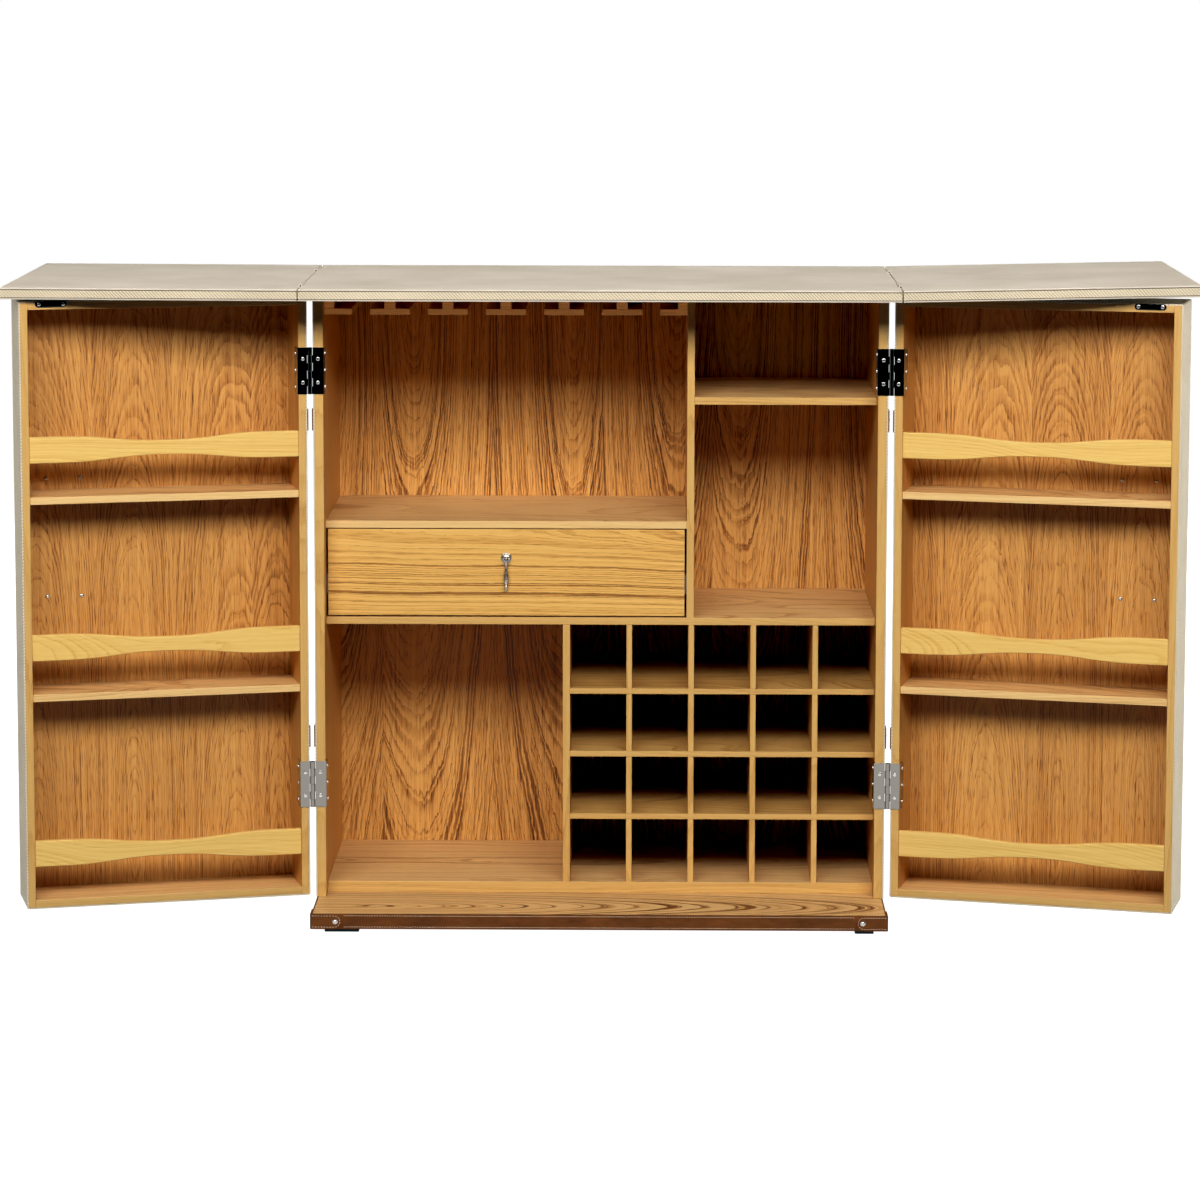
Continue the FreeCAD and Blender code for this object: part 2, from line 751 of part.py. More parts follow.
# Boards, shelves, guard rails and covering of one door
def make_door(side, name):
    rim_depth = (door_rim, door_face + cover)
    cover_z = (door_bottom, door_top)
    board_z = (door_bottom + cover, door_top - cover)
    hinge_x = (side * (half_body - cover), side * door_inner_hinge)
    free_x = (side * (door_free + cover), side * door_inner_free)
    between = (side * door_inner_free, side * door_inner_hinge)
    stiles = [block(x, rim_depth, board_z) for x in (hinge_x, free_x)]
    end_zs = ((board_z[0], door_floor_top), (door_inner_top, board_z[1]))
    ends = [block(between, rim_depth, z) for z in end_zs]
    panel = block(between, (door_face + cover, door_panel_face), (door_floor_top, door_inner_top))
    skin = block((side * half_body, side * door_free), (door_rim, door_face), cover_z)
    rounded = [e for e in skin.Edges if abs(e.CenterOfMass.y - door_rim) > cover]
    skin = skin.makeFillet(door_cover_round, rounded)
    hollow_x = (hinge_x[0], free_x[0])
    skin = skin.cut(block(hollow_x, (door_rim + overrun, door_face + cover), board_z))
    shelf_y = (door_rim - door_shelf_setback, door_panel_face)
    tops = (door_upper_shelf_height, door_lower_shelf_height)
    shelves = [block(between, shelf_y, (top - door_shelf_board, top)) for top in tops]
    guards = [guard_rail(side, top + guard_rise) for top in tops + (door_floor_top,)]
    strap, caps, bolts, holes = handle(side)
    for hole in holes:
        panel = panel.cut(hole)
        skin = skin.cut(hole)
    strike, strike_screws = strike_set(side)
    hinges = [door_hinge(side, height, True) for height in (upper_hinge_height, lower_hinge_height)]
    tabs = []
    rivets = []
    for height in (upper_tab_height, lower_tab_height):
        tab, rivet = side_tab(side, door_rim, back * -1, height)
        tabs.append(tab)
        rivets.append(rivet)
    pieces = {
        "stiles": stiles,
        "ends": ends,
        "panel": [panel],
        "cover": [skin],
        "shelves": shelves,
        "guards": guards,
        "hinges": hinges,
        "strike": [strike],
        "tabs": tabs,
        "handle": [strap],
        "handle_caps": caps,
        "fixings": all_screws(side, True) + strike_screws + bolts + rivets,
    }
    for piece, solids in pieces.items():
        save(f"{name}_{piece}", [swung(solid, side) for solid in solids])


# Waisted rail at the door's rim, between its two stiles
def guard_rail(side, low):
    span = door_inner_hinge - door_inner_free
    flat = guard_flat_share * span
    dip = (guard_end_height - guard_waist_height) / 2
    start = Vector(side * door_inner_free, door_rim, low)
    way = across * side
    foot = [start, start + way * flat, start + way * (span / 2) + up * dip]
    foot += [start + way * (span - flat), start + way * span]
    head = [point + up * guard_end_height for point in foot]
    head[2] = foot[2] + up * guard_waist_height
    edges = waisted_edge(foot, way) + [Part.makeLine(foot[4], head[4])]
    edges += waisted_edge(head, way) + [Part.makeLine(head[0], foot[0])]
    return prism(Part.sortEdges(edges)[0], back * -guard_board)


def waisted_edge(points, way):
    return [
        Part.makeLine(points[0], points[1]),
        s_curve(points[1], points[2], way),
        s_curve(points[2], points[3], way),
        Part.makeLine(points[3], points[4]),
    ]


# Round-ended strike plate on the rim of the door's top board, with its two screw heads
def strike_set(side):
    middle = Vector(side * strike_middle, door_rim, strike_z)
    halves = [
        round_ended(middle, across * way, strike_length / 2, up, strike_height, back * strike_plate)
        for way in (-1, 1)
    ]
    heads = []
    for end in (-1, 1):
        start = middle + across * (end * strike_screw_spread / 2) + back * strike_plate
        heads.append(Part.makeCylinder(screw_radius, screw_head, start, back))
    return joined(*halves), heads


# Bowed leather strap, the two caps that hold its ends, and the bolts through the door
def handle(side):
    x = side * (door_free + handle_place)
    outward = back * -1
    face = Vector(x, door_face, handle_middle_height)
    foot_end = handle_bolt_rows / 2 + handle_foot / 2
    foot_start = handle_bolt_rows / 2 - handle_foot / 2
    left = face - across * (handle_width / 2)
    inner = [left - up * foot_end, left - up * foot_start, left + outward * handle_bow]
    inner += [left + up * foot_start, left + up * foot_end]
    outer = [point + outward * handle_strap for point in inner]
    edges = waisted_edge(inner, up) + [Part.makeLine(inner[4], outer[4])]
    edges += waisted_edge(outer, up) + [Part.makeLine(outer[0], inner[0])]
    strap = prism(Part.sortEdges(edges)[0], across * handle_width)
    caps = []
    bolts = []
    holes = []
    inside = door_panel_face - door_face
    for end in (-1, 1):
        level = handle_middle_height + end * handle_bolt_rows / 2
        cap = strap_cap(Vector(x, door_face, level))
        for row in (-1, 1):
            seat = Vector(x + row * handle_bolt_spread / 2, door_face, level)
            head_seat = seat + outward * cap_plate
            inner_seat = seat - outward * inside
            shank = Part.makeCylinder(bolt_radius, cap_plate + inside, head_seat, back)
            outer_head = dome(head_seat, outward, bolt_head_radius, bolt_head)
            inner_head = dome(inner_seat, back, bolt_head_radius, bolt_head)
            bolts.append(joined(shank, outer_head, inner_head))
            hole = Part.makeCylinder(bolt_radius + bolt_clearance, cap_plate + inside, head_seat, back)
            holes.append(hole)
            cap = cap.cut(hole)
        caps.append(cap)
    return strap, caps, bolts, holes


# Metal cap bent over the strap's flat end, with a wing on each side
def strap_cap(middle):
    inner_half_width = handle_width / 2 + cap_clearance
    outer_half_width = inner_half_width + cap_plate
    inner_height = handle_strap + cap_clearance
    profile = [
        (-cap_width / 2, 0),
        (-inner_half_width, 0),
        (-inner_half_width, inner_height),
        (inner_half_width, inner_height),
        (inner_half_width, 0),
        (cap_width / 2, 0),
        (cap_width / 2, cap_plate),
        (outer_half_width, cap_plate),
        (outer_half_width, inner_height + cap_plate),
        (-outer_half_width, inner_height + cap_plate),
        (-outer_half_width, cap_plate),
        (-cap_width / 2, cap_plate),
    ]
    low = middle - up * (cap_height / 2)
    corners = [low + across * x - back * depth for x, depth in profile]
    return prism(polygon(corners), up * cap_height)


os.makedirs("parts", exist_ok=True)
make_base()
make_body_leather()
make_carcass()
make_fittings()
make_rack()
make_glass_rails()
make_top()
make_body_hinges()
make_leaf_hinges()
make_drawer()
make_pull()
make_door(-1, "left_door")
make_door(1, "right_door")
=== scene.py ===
import json
import math
from functools import partial
import bpy
from mathutils import Euler, Matrix, Vector


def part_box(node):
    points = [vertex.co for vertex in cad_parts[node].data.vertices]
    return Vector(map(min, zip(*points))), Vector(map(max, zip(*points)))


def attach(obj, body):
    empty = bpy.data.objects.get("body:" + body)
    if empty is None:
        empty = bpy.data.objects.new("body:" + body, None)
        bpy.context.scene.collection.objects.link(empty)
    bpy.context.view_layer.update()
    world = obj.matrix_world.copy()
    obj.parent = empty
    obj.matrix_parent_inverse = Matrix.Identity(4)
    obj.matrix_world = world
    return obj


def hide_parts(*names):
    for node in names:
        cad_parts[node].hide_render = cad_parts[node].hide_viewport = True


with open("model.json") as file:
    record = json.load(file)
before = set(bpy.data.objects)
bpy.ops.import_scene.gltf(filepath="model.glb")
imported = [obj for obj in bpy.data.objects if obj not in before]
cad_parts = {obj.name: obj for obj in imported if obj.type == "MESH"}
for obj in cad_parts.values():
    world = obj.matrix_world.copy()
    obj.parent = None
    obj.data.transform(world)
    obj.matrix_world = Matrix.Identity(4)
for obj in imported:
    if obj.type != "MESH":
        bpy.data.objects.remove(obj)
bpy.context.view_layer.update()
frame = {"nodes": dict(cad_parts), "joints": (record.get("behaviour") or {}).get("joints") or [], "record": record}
nodes = frame["nodes"]
record = frame["record"]
bodyOf = {node: body for body, members in record["behaviour"]["bodies"].items() for node in members}
mm = 0.001
xWay = Vector((1, 0, 0))
yWay = Vector((0, 1, 0))
zWay = Vector((0, 0, 1))


def jointOf(name):
    return next(joint for joint in frame["joints"] if joint["name"] == name)


# each door's turn from shut to its open rest pose
doorTurns = {}
doors = ("left_door", "right_door")
for door in doors:
    hinge = jointOf(door + "_hinge")
    pivot = Vector(hinge["pos_m"])
    swing = Matrix.Rotation(-math.radians(hinge["range_deg"][0]), 4, Vector(hinge["axis"]))
    doorTurns[door] = Matrix.Translation(pivot) @ swing @ Matrix.Translation(-pivot)

# from the rest pose back to the frame that a piece's pattern is laid out in
places = {"carcass": Matrix.Identity(4)}
for door, turn in doorTurns.items():
    places[door] = turn.inverted()
print("frame loaded:", len(nodes), "nodes")

# what the helpers share: angles in degrees, distances in millimetres
shopLook = dict(
    smooth=35, easedSmooth=55, turnedSmooth=40, easeFrom=40, easeSteps=2, merge=0.005, flatten=0.6,
    uprightShare=0.5, facingShare=0.9,
)
hair = 0.01 * mm  # points closer than this lie at the same place


# small helpers for working in the two modes
def objectMode():
    if bpy.context.mode != "OBJECT":
        bpy.ops.object.mode_set(mode="OBJECT")


def deselect():
    objectMode()
    bpy.ops.object.select_all(action="DESELECT")


def focus(piece):
    deselect()
    piece.select_set(True)
    bpy.context.view_layer.objects.active = piece


def applyPlace(piece):
    focus(piece)
    bpy.ops.object.transform_apply(location=True, rotation=True, scale=True)


def turnPiece(piece, turn):
    piece.matrix_world = turn @ piece.matrix_world
    applyPlace(piece)
    return piece


# from the pattern frame of its body to where a piece stands at rest
def toRest(piece, place):
    if place in doorTurns:
        turnPiece(piece, doorTurns[place])


def justAdded(name):
    piece = bpy.context.active_object
    piece.name = name
    return piece


def addBlock(name, low, high):
    deselect()
    middle = [(a + b) / 2 for a, b in zip(low, high)]
    bpy.ops.mesh.primitive_cube_add(size=1, location=middle)
    piece = justAdded(name)
    piece.scale = [abs(b - a) for a, b in zip(low, high)]
    applyPlace(piece)
    return piece


def addRound(name, radius, depth, middle, sides):
    deselect()
    bpy.ops.mesh.primitive_cylinder_add(vertices=sides, radius=radius, depth=depth, location=middle)
    piece = justAdded(name)
    applyPlace(piece)
    return piece


def clearPicks(mesh):
    for group in (mesh.vertices, mesh.edges, mesh.polygons):
        group.foreach_set("select", [False] * len(group))


def pickFaces(piece, wanted):
    focus(piece)
    bpy.context.tool_settings.mesh_select_mode = (False, False, True)
    clearPicks(piece.data)
    for face in piece.data.polygons:
        face.select = bool(wanted(face))
    bpy.ops.object.mode_set(mode="EDIT")


def pickEdges(piece, wanted):
    focus(piece)
    bpy.context.tool_settings.mesh_select_mode = (False, True, False)
    clearPicks(piece.data)
    points = piece.data.vertices
    for edge in piece.data.edges:
        edge.select = bool(wanted(*(points[i].co for i in edge.vertices)))
    bpy.ops.object.mode_set(mode="EDIT")


def pickAll(piece):
    focus(piece)
    bpy.ops.object.mode_set(mode="EDIT")
    bpy.ops.mesh.select_all(action="SELECT")


def bevelPicked(width, segments):
    bpy.ops.mesh.bevel(offset=width, segments=segments, affect="EDGES")
    objectMode()


def cutAcross(piece, point, normal, clear=False, fill=False):
    pickAll(piece)
    bpy.ops.mesh.bisect(plane_co=point, plane_no=normal, clear_inner=clear, use_fill=fill)
    objectMode()


def withModifier(piece, kind, **settings):
    focus(piece)
    modifier = piece.modifiers.new(kind.title(), kind)
    for key, value in settings.items():
        setattr(modifier, key, value)
    bpy.ops.object.modifier_apply(modifier=modifier.name)


def smooth(piece, angle=shopLook["smooth"]):
    focus(piece)
    bpy.ops.object.shade_smooth_by_angle(angle=math.radians(angle))


def soften(piece, look):
    limit = math.radians(look.get("easeFrom", shopLook["easeFrom"]))
    bevel = {"width": look["ease"] * mm, "segments": look.get("easeSteps", shopLook["easeSteps"])}
    withModifier(piece, "BEVEL", limit_method="ANGLE", angle_limit=limit, **bevel)
    smooth(piece, shopLook["easedSmooth"])
    withModifier(piece, "WEIGHTED_NORMAL", keep_sharp=True)
    return piece


def joinPieces(name, pieces):
    focus(pieces[0])
    for piece in pieces:
        piece.select_set(True)
    bpy.ops.object.join()
    return justAdded(name)


def removePiece(piece):
    bpy.data.objects.remove(piece)


def cutOut(piece, low, high):
    cutter = addBlock("Cutter", low, high)
    withModifier(piece, "BOOLEAN", operation="DIFFERENCE", solver="EXACT", object=cutter)
    removePiece(cutter)


def isUpright(face):
    return abs(face.normal.z) < shopLook["uprightShare"]


def looksAlong(face, way):
    return face.normal.dot(way) > shopLook["facingShare"]


# one mesh made of a model's copies, each at its own spot
def copyTo(name, model, spots):
    points = []
    faces = []
    for spot in spots:
        start = len(points)
        points.extend(spot @ vertex.co for vertex in model.data.vertices)
        faces.extend([start + i for i in face.vertices] for face in model.data.polygons)
    mesh = bpy.data.meshes.new(name)
    mesh.from_pydata(points, [], faces)
    piece = bpy.data.objects.new(name, mesh)
    bpy.context.scene.collection.objects.link(piece)
    return piece


# spot for a model whose foot is at its origin and whose head points along +Z
def seatSpot(seat, way, spin=0.0):
    turn = zWay.rotation_difference(way).to_matrix().to_4x4()
    return Matrix.Translation(seat) @ turn @ Matrix.Rotation(spin, 4, "Z")


# copy of a CAD node's mesh, merged into whole faces
def mergedCopy(node, name):
    piece = nodes[node].copy()
    piece.data = nodes[node].data.copy()
    piece.name = name
    piece.parent = None
    for key in list(piece.keys()):
        del piece[key]
    bpy.context.scene.collection.objects.link(piece)
    piece.data.materials.clear()
    pickAll(piece)
    bpy.ops.mesh.remove_doubles(threshold=shopLook["merge"] * mm)
    bpy.ops.mesh.dissolve_limited(angle_limit=math.radians(shopLook["flatten"]))
    objectMode()
    return piece


# boxes of the separate solids in a CAD node, in the pattern frame of its body
def solidBoxes(node):
    place = places[bodyOf[node]]
    points = nodes[node].data.vertices
    joined = {}
    home = list(range(len(points)))

    def rootOf(i):
        while home[i] != i:
            home[i] = home[home[i]]
            i = home[i]
        return i

    for i, point in enumerate(points):
        key = tuple(round(value, 6) for value in point.co)  # to the micrometre
        home[rootOf(i)] = rootOf(joined.setdefault(key, i))
    for face in nodes[node].data.polygons:
        first = rootOf(face.vertices[0])
        for i in face.vertices[1:]:
            home[rootOf(i)] = first
    boxes = {}
    for i, point in enumerate(points):
        spot = place @ point.co
        low, high = boxes.setdefault(rootOf(i), (spot.copy(), spot.copy()))
        for axis in range(3):
            low[axis] = min(low[axis], spot[axis])
            high[axis] = max(high[axis], spot[axis])
    return list(boxes.values())


def dress(piece, *materials):
    piece.data.materials.clear()
    for material in materials:
        piece.data.materials.append(material)


# gives a piece its finish and ties it to a CAD node, whose place it takes unless it only adds to it
def fit(piece, node, finish=None, inPlace=True):
    if finish:
        dress(piece, finish)
    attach(piece, bodyOf[node])
    if inPlace:
        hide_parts(node)


# node helpers for the materials, whose colours are given as on a screen, 0 to 255
def tint(red, green, blue):
    def linear(value):
        share = value / 255
        return share / 12.92 if share <= 0.04045 else ((share + 0.055) / 1.055) ** 2.4
    return (linear(red), linear(green), linear(blue), 1.0)


def newMaterial(name):
    material = bpy.data.materials.new(name)
    material.use_nodes = True
    return material, material.node_tree, material.node_tree.nodes["Principled BSDF"]


def addNode(tree, kind, **settings):
    node = tree.nodes.new(kind)
    for key, value in settings.items():
        setattr(node, key, value)
    return node


def feed(tree, socket, value):
    if isinstance(value, bpy.types.NodeSocket):
        tree.links.new(value, socket)
    else:
        socket.default_value = value


def mathOf(tree, operation, *values):
    node = addNode(tree, "ShaderNodeMath", operation=operation)
    for socket, value in zip(node.inputs, values):
        feed(tree, socket, value)
    return node.outputs[0]


def piecePoint(tree, turn=Matrix.Identity(4)):
    coordinate = addNode(tree, "ShaderNodeTexCoord")
    mapping = addNode(tree, "ShaderNodeMapping")
    mapping.inputs["Location"].default_value = turn.to_translation()
    mapping.inputs["Rotation"].default_value = turn.to_euler()
    feed(tree, mapping.inputs["Vector"], coordinate.outputs["Object"])
    return mapping.outputs[0]


def splitPoint(tree, point):
    node = addNode(tree, "ShaderNodeSeparateXYZ")
    feed(tree, node.inputs[0], point)
    return node.outputs[0], node.outputs[1], node.outputs[2]


def stretched(tree, point, scale):
    node = addNode(tree, "ShaderNodeVectorMath", operation="MULTIPLY")
    feed(tree, node.inputs[0], point)
    node.inputs[1].default_value = scale if isinstance(scale, tuple) else (scale, scale, scale)
    return node.outputs[0]


# noise over the piece, its scale per metre as one number or as one for each axis
def noiseOf(tree, point, scale, detail, roughness=0.5):
    node = addNode(tree, "ShaderNodeTexNoise")
    feed(tree, node.inputs["Vector"], stretched(tree, point, scale))
    node.inputs["Scale"].default_value = 1.0
    node.inputs["Detail"].default_value = detail
    node.inputs["Roughness"].default_value = roughness
    return node.outputs[0]


def luckOf(tree, number):
    node = addNode(tree, "ShaderNodeTexWhiteNoise", noise_dimensions="1D")
    feed(tree, node.inputs["W"], number)
    return node


def rampOf(tree, value, stops):
    node = addNode(tree, "ShaderNodeValToRGB")
    elements = node.color_ramp.elements
    while len(elements) < len(stops):
        elements.new(0.5)
    for element, (position, colour) in zip(elements, stops):
        element.position = position
        element.color = colour if isinstance(colour, tuple) else (colour, colour, colour, 1.0)
    feed(tree, node.inputs[0], value)
    return node.outputs[0]


def mixOf(tree, share, first, second):
    node = addNode(tree, "ShaderNodeMix", data_type="RGBA")
    feed(tree, node.inputs[0], share)
    feed(tree, node.inputs[6], first)  # 6, 7 and 2 are the colour sockets
    feed(tree, node.inputs[7], second)
    return node.outputs[2]


# 1 where the surface faces this way, else 0
def facing(tree, way, sharp=0.8):
    node = addNode(tree, "ShaderNodeVectorMath", operation="DOT_PRODUCT")
    feed(tree, node.inputs[0], addNode(tree, "ShaderNodeTexCoord").outputs["Normal"])
    node.inputs[1].default_value = way
    return mathOf(tree, "GREATER_THAN", node.outputs["Value"], sharp)


def bumpOf(tree, shader, height, look):
    node = addNode(tree, "ShaderNodeBump")
    node.inputs["Strength"].default_value = look["bump"]
    node.inputs["Distance"].default_value = look["bumpDeep"] * mm
    feed(tree, node.inputs["Height"], height)
    feed(tree, shader.inputs["Normal"], node.outputs[0])


def sheenOf(shader, look):
    shader.inputs["Roughness"].default_value = look["gloss"]
    shader.inputs["Specular IOR Level"].default_value = look["specular"]


# two tones or two glosses in soft clouds
def cloudOf(tree, cloud, first, second):
    return rampOf(tree, cloud, [(0.3, first), (0.7, second)])


# a share of 0 to 1 as a swing of half the span to either side
def swingOf(tree, share, span):
    return mathOf(tree, "MULTIPLY_ADD", share, span, -span / 2)


# turns that bring a board's grain on to +Z of the pattern, its width on to X and its thickness on to Y
grainTurns = {
    "upright": Matrix.Identity(4),
    "level": Matrix(((0, 1, 0, 0), (0, 0, 1, 0), (1, 0, 0, 0), (0, 0, 0, 1))),
    "front": Matrix(((0, 0, 1, 0), (0, 1, 0, 0), (-1, 0, 0, 0), (0, 0, 0, 1))),
    "deep": Matrix(((1, 0, 0, 0), (0, 0, -1, 0), (0, 1, 0, 0), (0, 0, 0, 1))),
}


def tonesOf(stops, *colours):
    return [(stop, tint(*colour)) for stop, colour in zip(stops, colours)]


# tones of each wood, from its palest ground to its darkest line
panelOak = tonesOf((0.0, 0.3, 0.65, 1.0), (230, 183, 110), (211, 159, 88), (160, 106, 50), (92, 53, 22))
honeyOak = tonesOf((0.0, 0.3, 0.65, 1.0), (217, 167, 96), (199, 145, 78), (154, 100, 47), (90, 50, 20))
shelfOak = tonesOf((0.0, 0.35, 0.7, 1.0), (236, 200, 142), (222, 181, 122), (192, 144, 88), (128, 82, 42))
edgeOak = tonesOf((0.0, 0.4, 0.75, 1.0), (219, 180, 112), (205, 162, 94), (178, 129, 67), (122, 77, 34))
paleEdge = tonesOf((0.0, 0.4, 0.75, 1.0), (238, 204, 144), (226, 186, 124), (200, 154, 92), (146, 100, 52))
drawerOak = tonesOf((0.0, 0.3, 0.65, 1.0), (236, 194, 116), (224, 176, 98), (176, 120, 56), (104, 62, 26))
# painted shade: warmer, more saturated tones for the rails, standing in for the warm bounce light in the shadow
# under the counter
warmShadeRailOak = tonesOf((0.0, 0.5, 1.0), (224, 160, 84), (200, 134, 64), (128, 76, 32))
paleAsh = tonesOf((0.0, 0.5, 1.0), (240, 206, 128), (228, 186, 104), (176, 130, 62))

# leaf, heart, wander, middle, slow, centre, rough and gap in millimetres; flow scales the slow bends
woodLooks = {
    "panel": dict(
        grain="upright", tones=panelOak, seed=3.0, leaf=186.0, heart=172.0, wander=50.0, tilt=-0.12,
        middle=560.0, slow=36.0, flow=1.8, rough=6.0, gap=3.8, lines=0.68, apex=0.4, streaks=1.0,
        flecks=0.4, leafTone=0.2,
    ),
    "doorPanel": dict(
        grain="upright", tones=honeyOak, seed=7.0, leaf=128.0, heart=-280.0, wander=60.0, tilt=0.1,
        middle=520.0, slow=34.0, flow=2.2, rough=5.2, gap=3.4, lines=0.52, apex=0.5, streaks=0.95,
        flecks=0.4, leafTone=0.16,
    ),
    "upright": dict(
        grain="upright", tones=honeyOak, seed=11.0, leaf=300.0, heart=420.0, wander=60.0, tilt=0.03,
        middle=500.0, slow=40.0, flow=1.3, rough=2.0, gap=4.6, lines=0.5, edge=0.95, streaks=0.6,
        flecks=0.25, leafTone=0.1,
    ),
    "shelf": dict(
        grain="level", tones=shelfOak, seed=23.0, leaf=165.0, heart=-60.0, wander=40.0, tilt=0.03,
        middle=0.0, slow=60.0, flow=1.4, rough=2.6, gap=6.0, lines=0.55, edge=0.95, streaks=0.6,
        flecks=0.25, leafTone=0.14,
    ),
    "step": dict(
        grain="level", tones=shelfOak, seed=31.0, leaf=400.0, heart=-8.0, wander=0.0, tilt=0.14,
        middle=-120.0, slow=30.0, flow=1.6, rough=1.5, gap=6.0, lines=1.3, centre=-196.0, streaks=0.4,
        flecks=0.15, leafTone=0.0,
    ),
    "drawer": dict(
        grain="front", tones=drawerOak, seed=41.0, leaf=420.0, heart=-142.0, wander=0.0, tilt=0.03,
        middle=220.0, slow=18.0, flow=4.0, rough=4.0, gap=6.4, lines=0.7, centre=632.0, apex=0.45,
        streaks=0.5, flecks=0.2, leafTone=0.0,
    ),
    "rail": dict(
        grain="deep", tones=warmShadeRailOak, seed=53.0, leaf=120.0, heart=500.0, wander=40.0, tilt=0.03,
        middle=0.0, slow=30.0, flow=1.3, rough=2.0, gap=4.6, lines=0.45, streaks=0.55, flecks=0.2,
        leafTone=0.12,
    ),
    "guard": dict(
        grain="front", tones=paleAsh, seed=64.0, leaf=200.0, heart=-250.0, wander=60.0, tilt=0.05,
        middle=0.0, slow=60.0, flow=2.6, rough=2.0, gap=3.6, lines=0.5, streaks=0.7, flecks=0.15,
        leafTone=0.1,
    ),
}
woodLooks["box"] = dict(woodLooks["rail"], tones=shelfOak)
woodLooks["rack"] = dict(woodLooks["shelf"], tones=edgeOak)
woodLooks["paleShelf"] = dict(woodLooks["shelf"], lipping=paleEdge)

# shared by all woods; a noise has its scales over width, thickness and grain, then detail and roughness
grainLook = dict(
    bend=5.0, bendDetail=1.0, ragged=((64.0, 64.0, 18.0), 4.0, 0.65),
    feather=((620.0, 620.0, 16.0), 2.0), streak=((260.0, 260.0, 2.6), 3.0, 0.6),
    fleck=((800.0, 800.0, 34.0), 1.0), uneven=60.0, unevenRings=1.6, heartSpread=(0.6, 0.2),
    ringSpread=(0.75, 0.4), featherSpread=(1.5, 0.25), apexShare=0.16, streakMiddle=0.36,
    lippingTone=0.7, gloss=0.42, specular=0.4, bump=0.25, bumpDeep=0.4,
)
ringFade = [(0.0, 1.0), (0.1, 0.85), (0.3, 0.34), (0.6, 0.04), (0.9, 0.06), (1.0, 1.0)]
fleckFade = [(0.58, 0.0), (0.7, 1.0)]


# sawn wood: growth rings round a wandering heart, cut through by the board, in leaves of veneer
def makeWood(name, look, place, front):
    material, tree, shader = newMaterial(name)
    calc = partial(mathOf, tree)
    point = piecePoint(tree, grainTurns[look["grain"]] @ place)
    across, depth, along = splitPoint(tree, point)
    leafWide = look["leaf"] * mm
    leaf = calc("DIVIDE", across, leafWide)
    luck = luckOf(tree, calc("ADD", calc("FLOOR", leaf), look["seed"]))
    luckA, luckB, luckC = splitPoint(tree, luck.outputs["Color"])
    if "centre" in look:
        offset = calc("SUBTRACT", across, look["centre"] * mm)
    else:
        heartShare = calc("MULTIPLY_ADD", luckA, *grainLook["heartSpread"])
        share = calc("SUBTRACT", calc("FRACT", leaf), heartShare)
        offset = calc("MULTIPLY", share, leafWide)

    # distance from the heart to this cut, which leans and wanders along the grain
    wander = swingOf(tree, luckB, look["wander"] * mm)
    heart = calc("ADD", calc("SUBTRACT", depth, look["heart"] * mm), wander)
    lean = calc("MULTIPLY_ADD", along, look["tilt"], -look["tilt"] * look["middle"] * mm)
    slowScale = (grainLook["bend"], grainLook["bend"], look["flow"])
    wave = swingOf(tree, noiseOf(tree, point, slowScale, grainLook["bendDetail"]), look["slow"] * mm)
    reach = calc("ADD", calc("ADD", heart, lean), wave)
    offsetSquare = calc("MULTIPLY", offset, offset)
    square = calc("ADD", offsetSquare, calc("MULTIPLY", reach, reach))
    rough = swingOf(tree, noiseOf(tree, point, *grainLook["ragged"]), look["rough"] * mm)
    radius = calc("ADD", calc("SQRT", square), rough)

    # rings of uneven width and strength, dark on one side and fading, broken up by the pores
    uneven = addNode(tree, "ShaderNodeTexNoise", noise_dimensions="1D")
    feed(tree, uneven.inputs["W"], calc("MULTIPLY", radius, grainLook["uneven"]))
    evenRings = calc("DIVIDE", radius, look["gap"] * mm)
    rings = calc("MULTIPLY_ADD", uneven.outputs[0], grainLook["unevenRings"], evenRings)
    ringLuck = luckOf(tree, calc("FLOOR", rings)).outputs["Value"]
    ringStrength = calc("MULTIPLY_ADD", ringLuck, *grainLook["ringSpread"])
    feather = noiseOf(tree, point, *grainLook["feather"])
    broken = calc("MULTIPLY_ADD", feather, *grainLook["featherSpread"])
    strength = calc("MULTIPLY", ringStrength, broken)
    if "apex" in look:
        # fainter along the middle of a leaf, where the cut runs flat along the rings
        middleWide = leafWide * grainLook["apexShare"]
        fromMiddle = calc("DIVIDE", calc("ABSOLUTE", offset), middleWide)
        fade = rampOf(tree, fromMiddle, [(0.0, look["apex"]), (1.0, 1.0)])
        strength = calc("MULTIPLY", strength, fade)
    line = calc("MULTIPLY", rampOf(tree, calc("FRACT", rings), ringFade), strength)

    # tone from the ring lines, long streaks, short flecks and each leaf's own shade
    streaks = look["streaks"]
    streak = noiseOf(tree, point, *grainLook["streak"])
    streakTone = calc("MULTIPLY_ADD", streak, streaks, -streaks * grainLook["streakMiddle"])
    fleck = rampOf(tree, noiseOf(tree, point, *grainLook["fleck"]), fleckFade)
    fleckTone = calc("MULTIPLY", fleck, look["flecks"])
    tone = calc("MULTIPLY", line, look["lines"])
    for share in (streakTone, fleckTone, swingOf(tree, luckC, look["leafTone"])):
        tone = calc("ADD", tone, share)
    colour = rampOf(tree, tone, look["tones"])
    if "edge" in look:
        # the front edges carry a paler solid lipping
        lippingTone = calc("MULTIPLY", tone, grainLook["lippingTone"])
        lipping = rampOf(tree, lippingTone, look.get("lipping", edgeOak))
        edge = calc("MULTIPLY", facing(tree, front), look["edge"])
        colour = mixOf(tree, edge, colour, lipping)
    feed(tree, shader.inputs["Base Color"], colour)
    sheenOf(shader, grainLook)
    bumpOf(tree, shader, calc("MULTIPLY", tone, -1.0), grainLook)
    return material


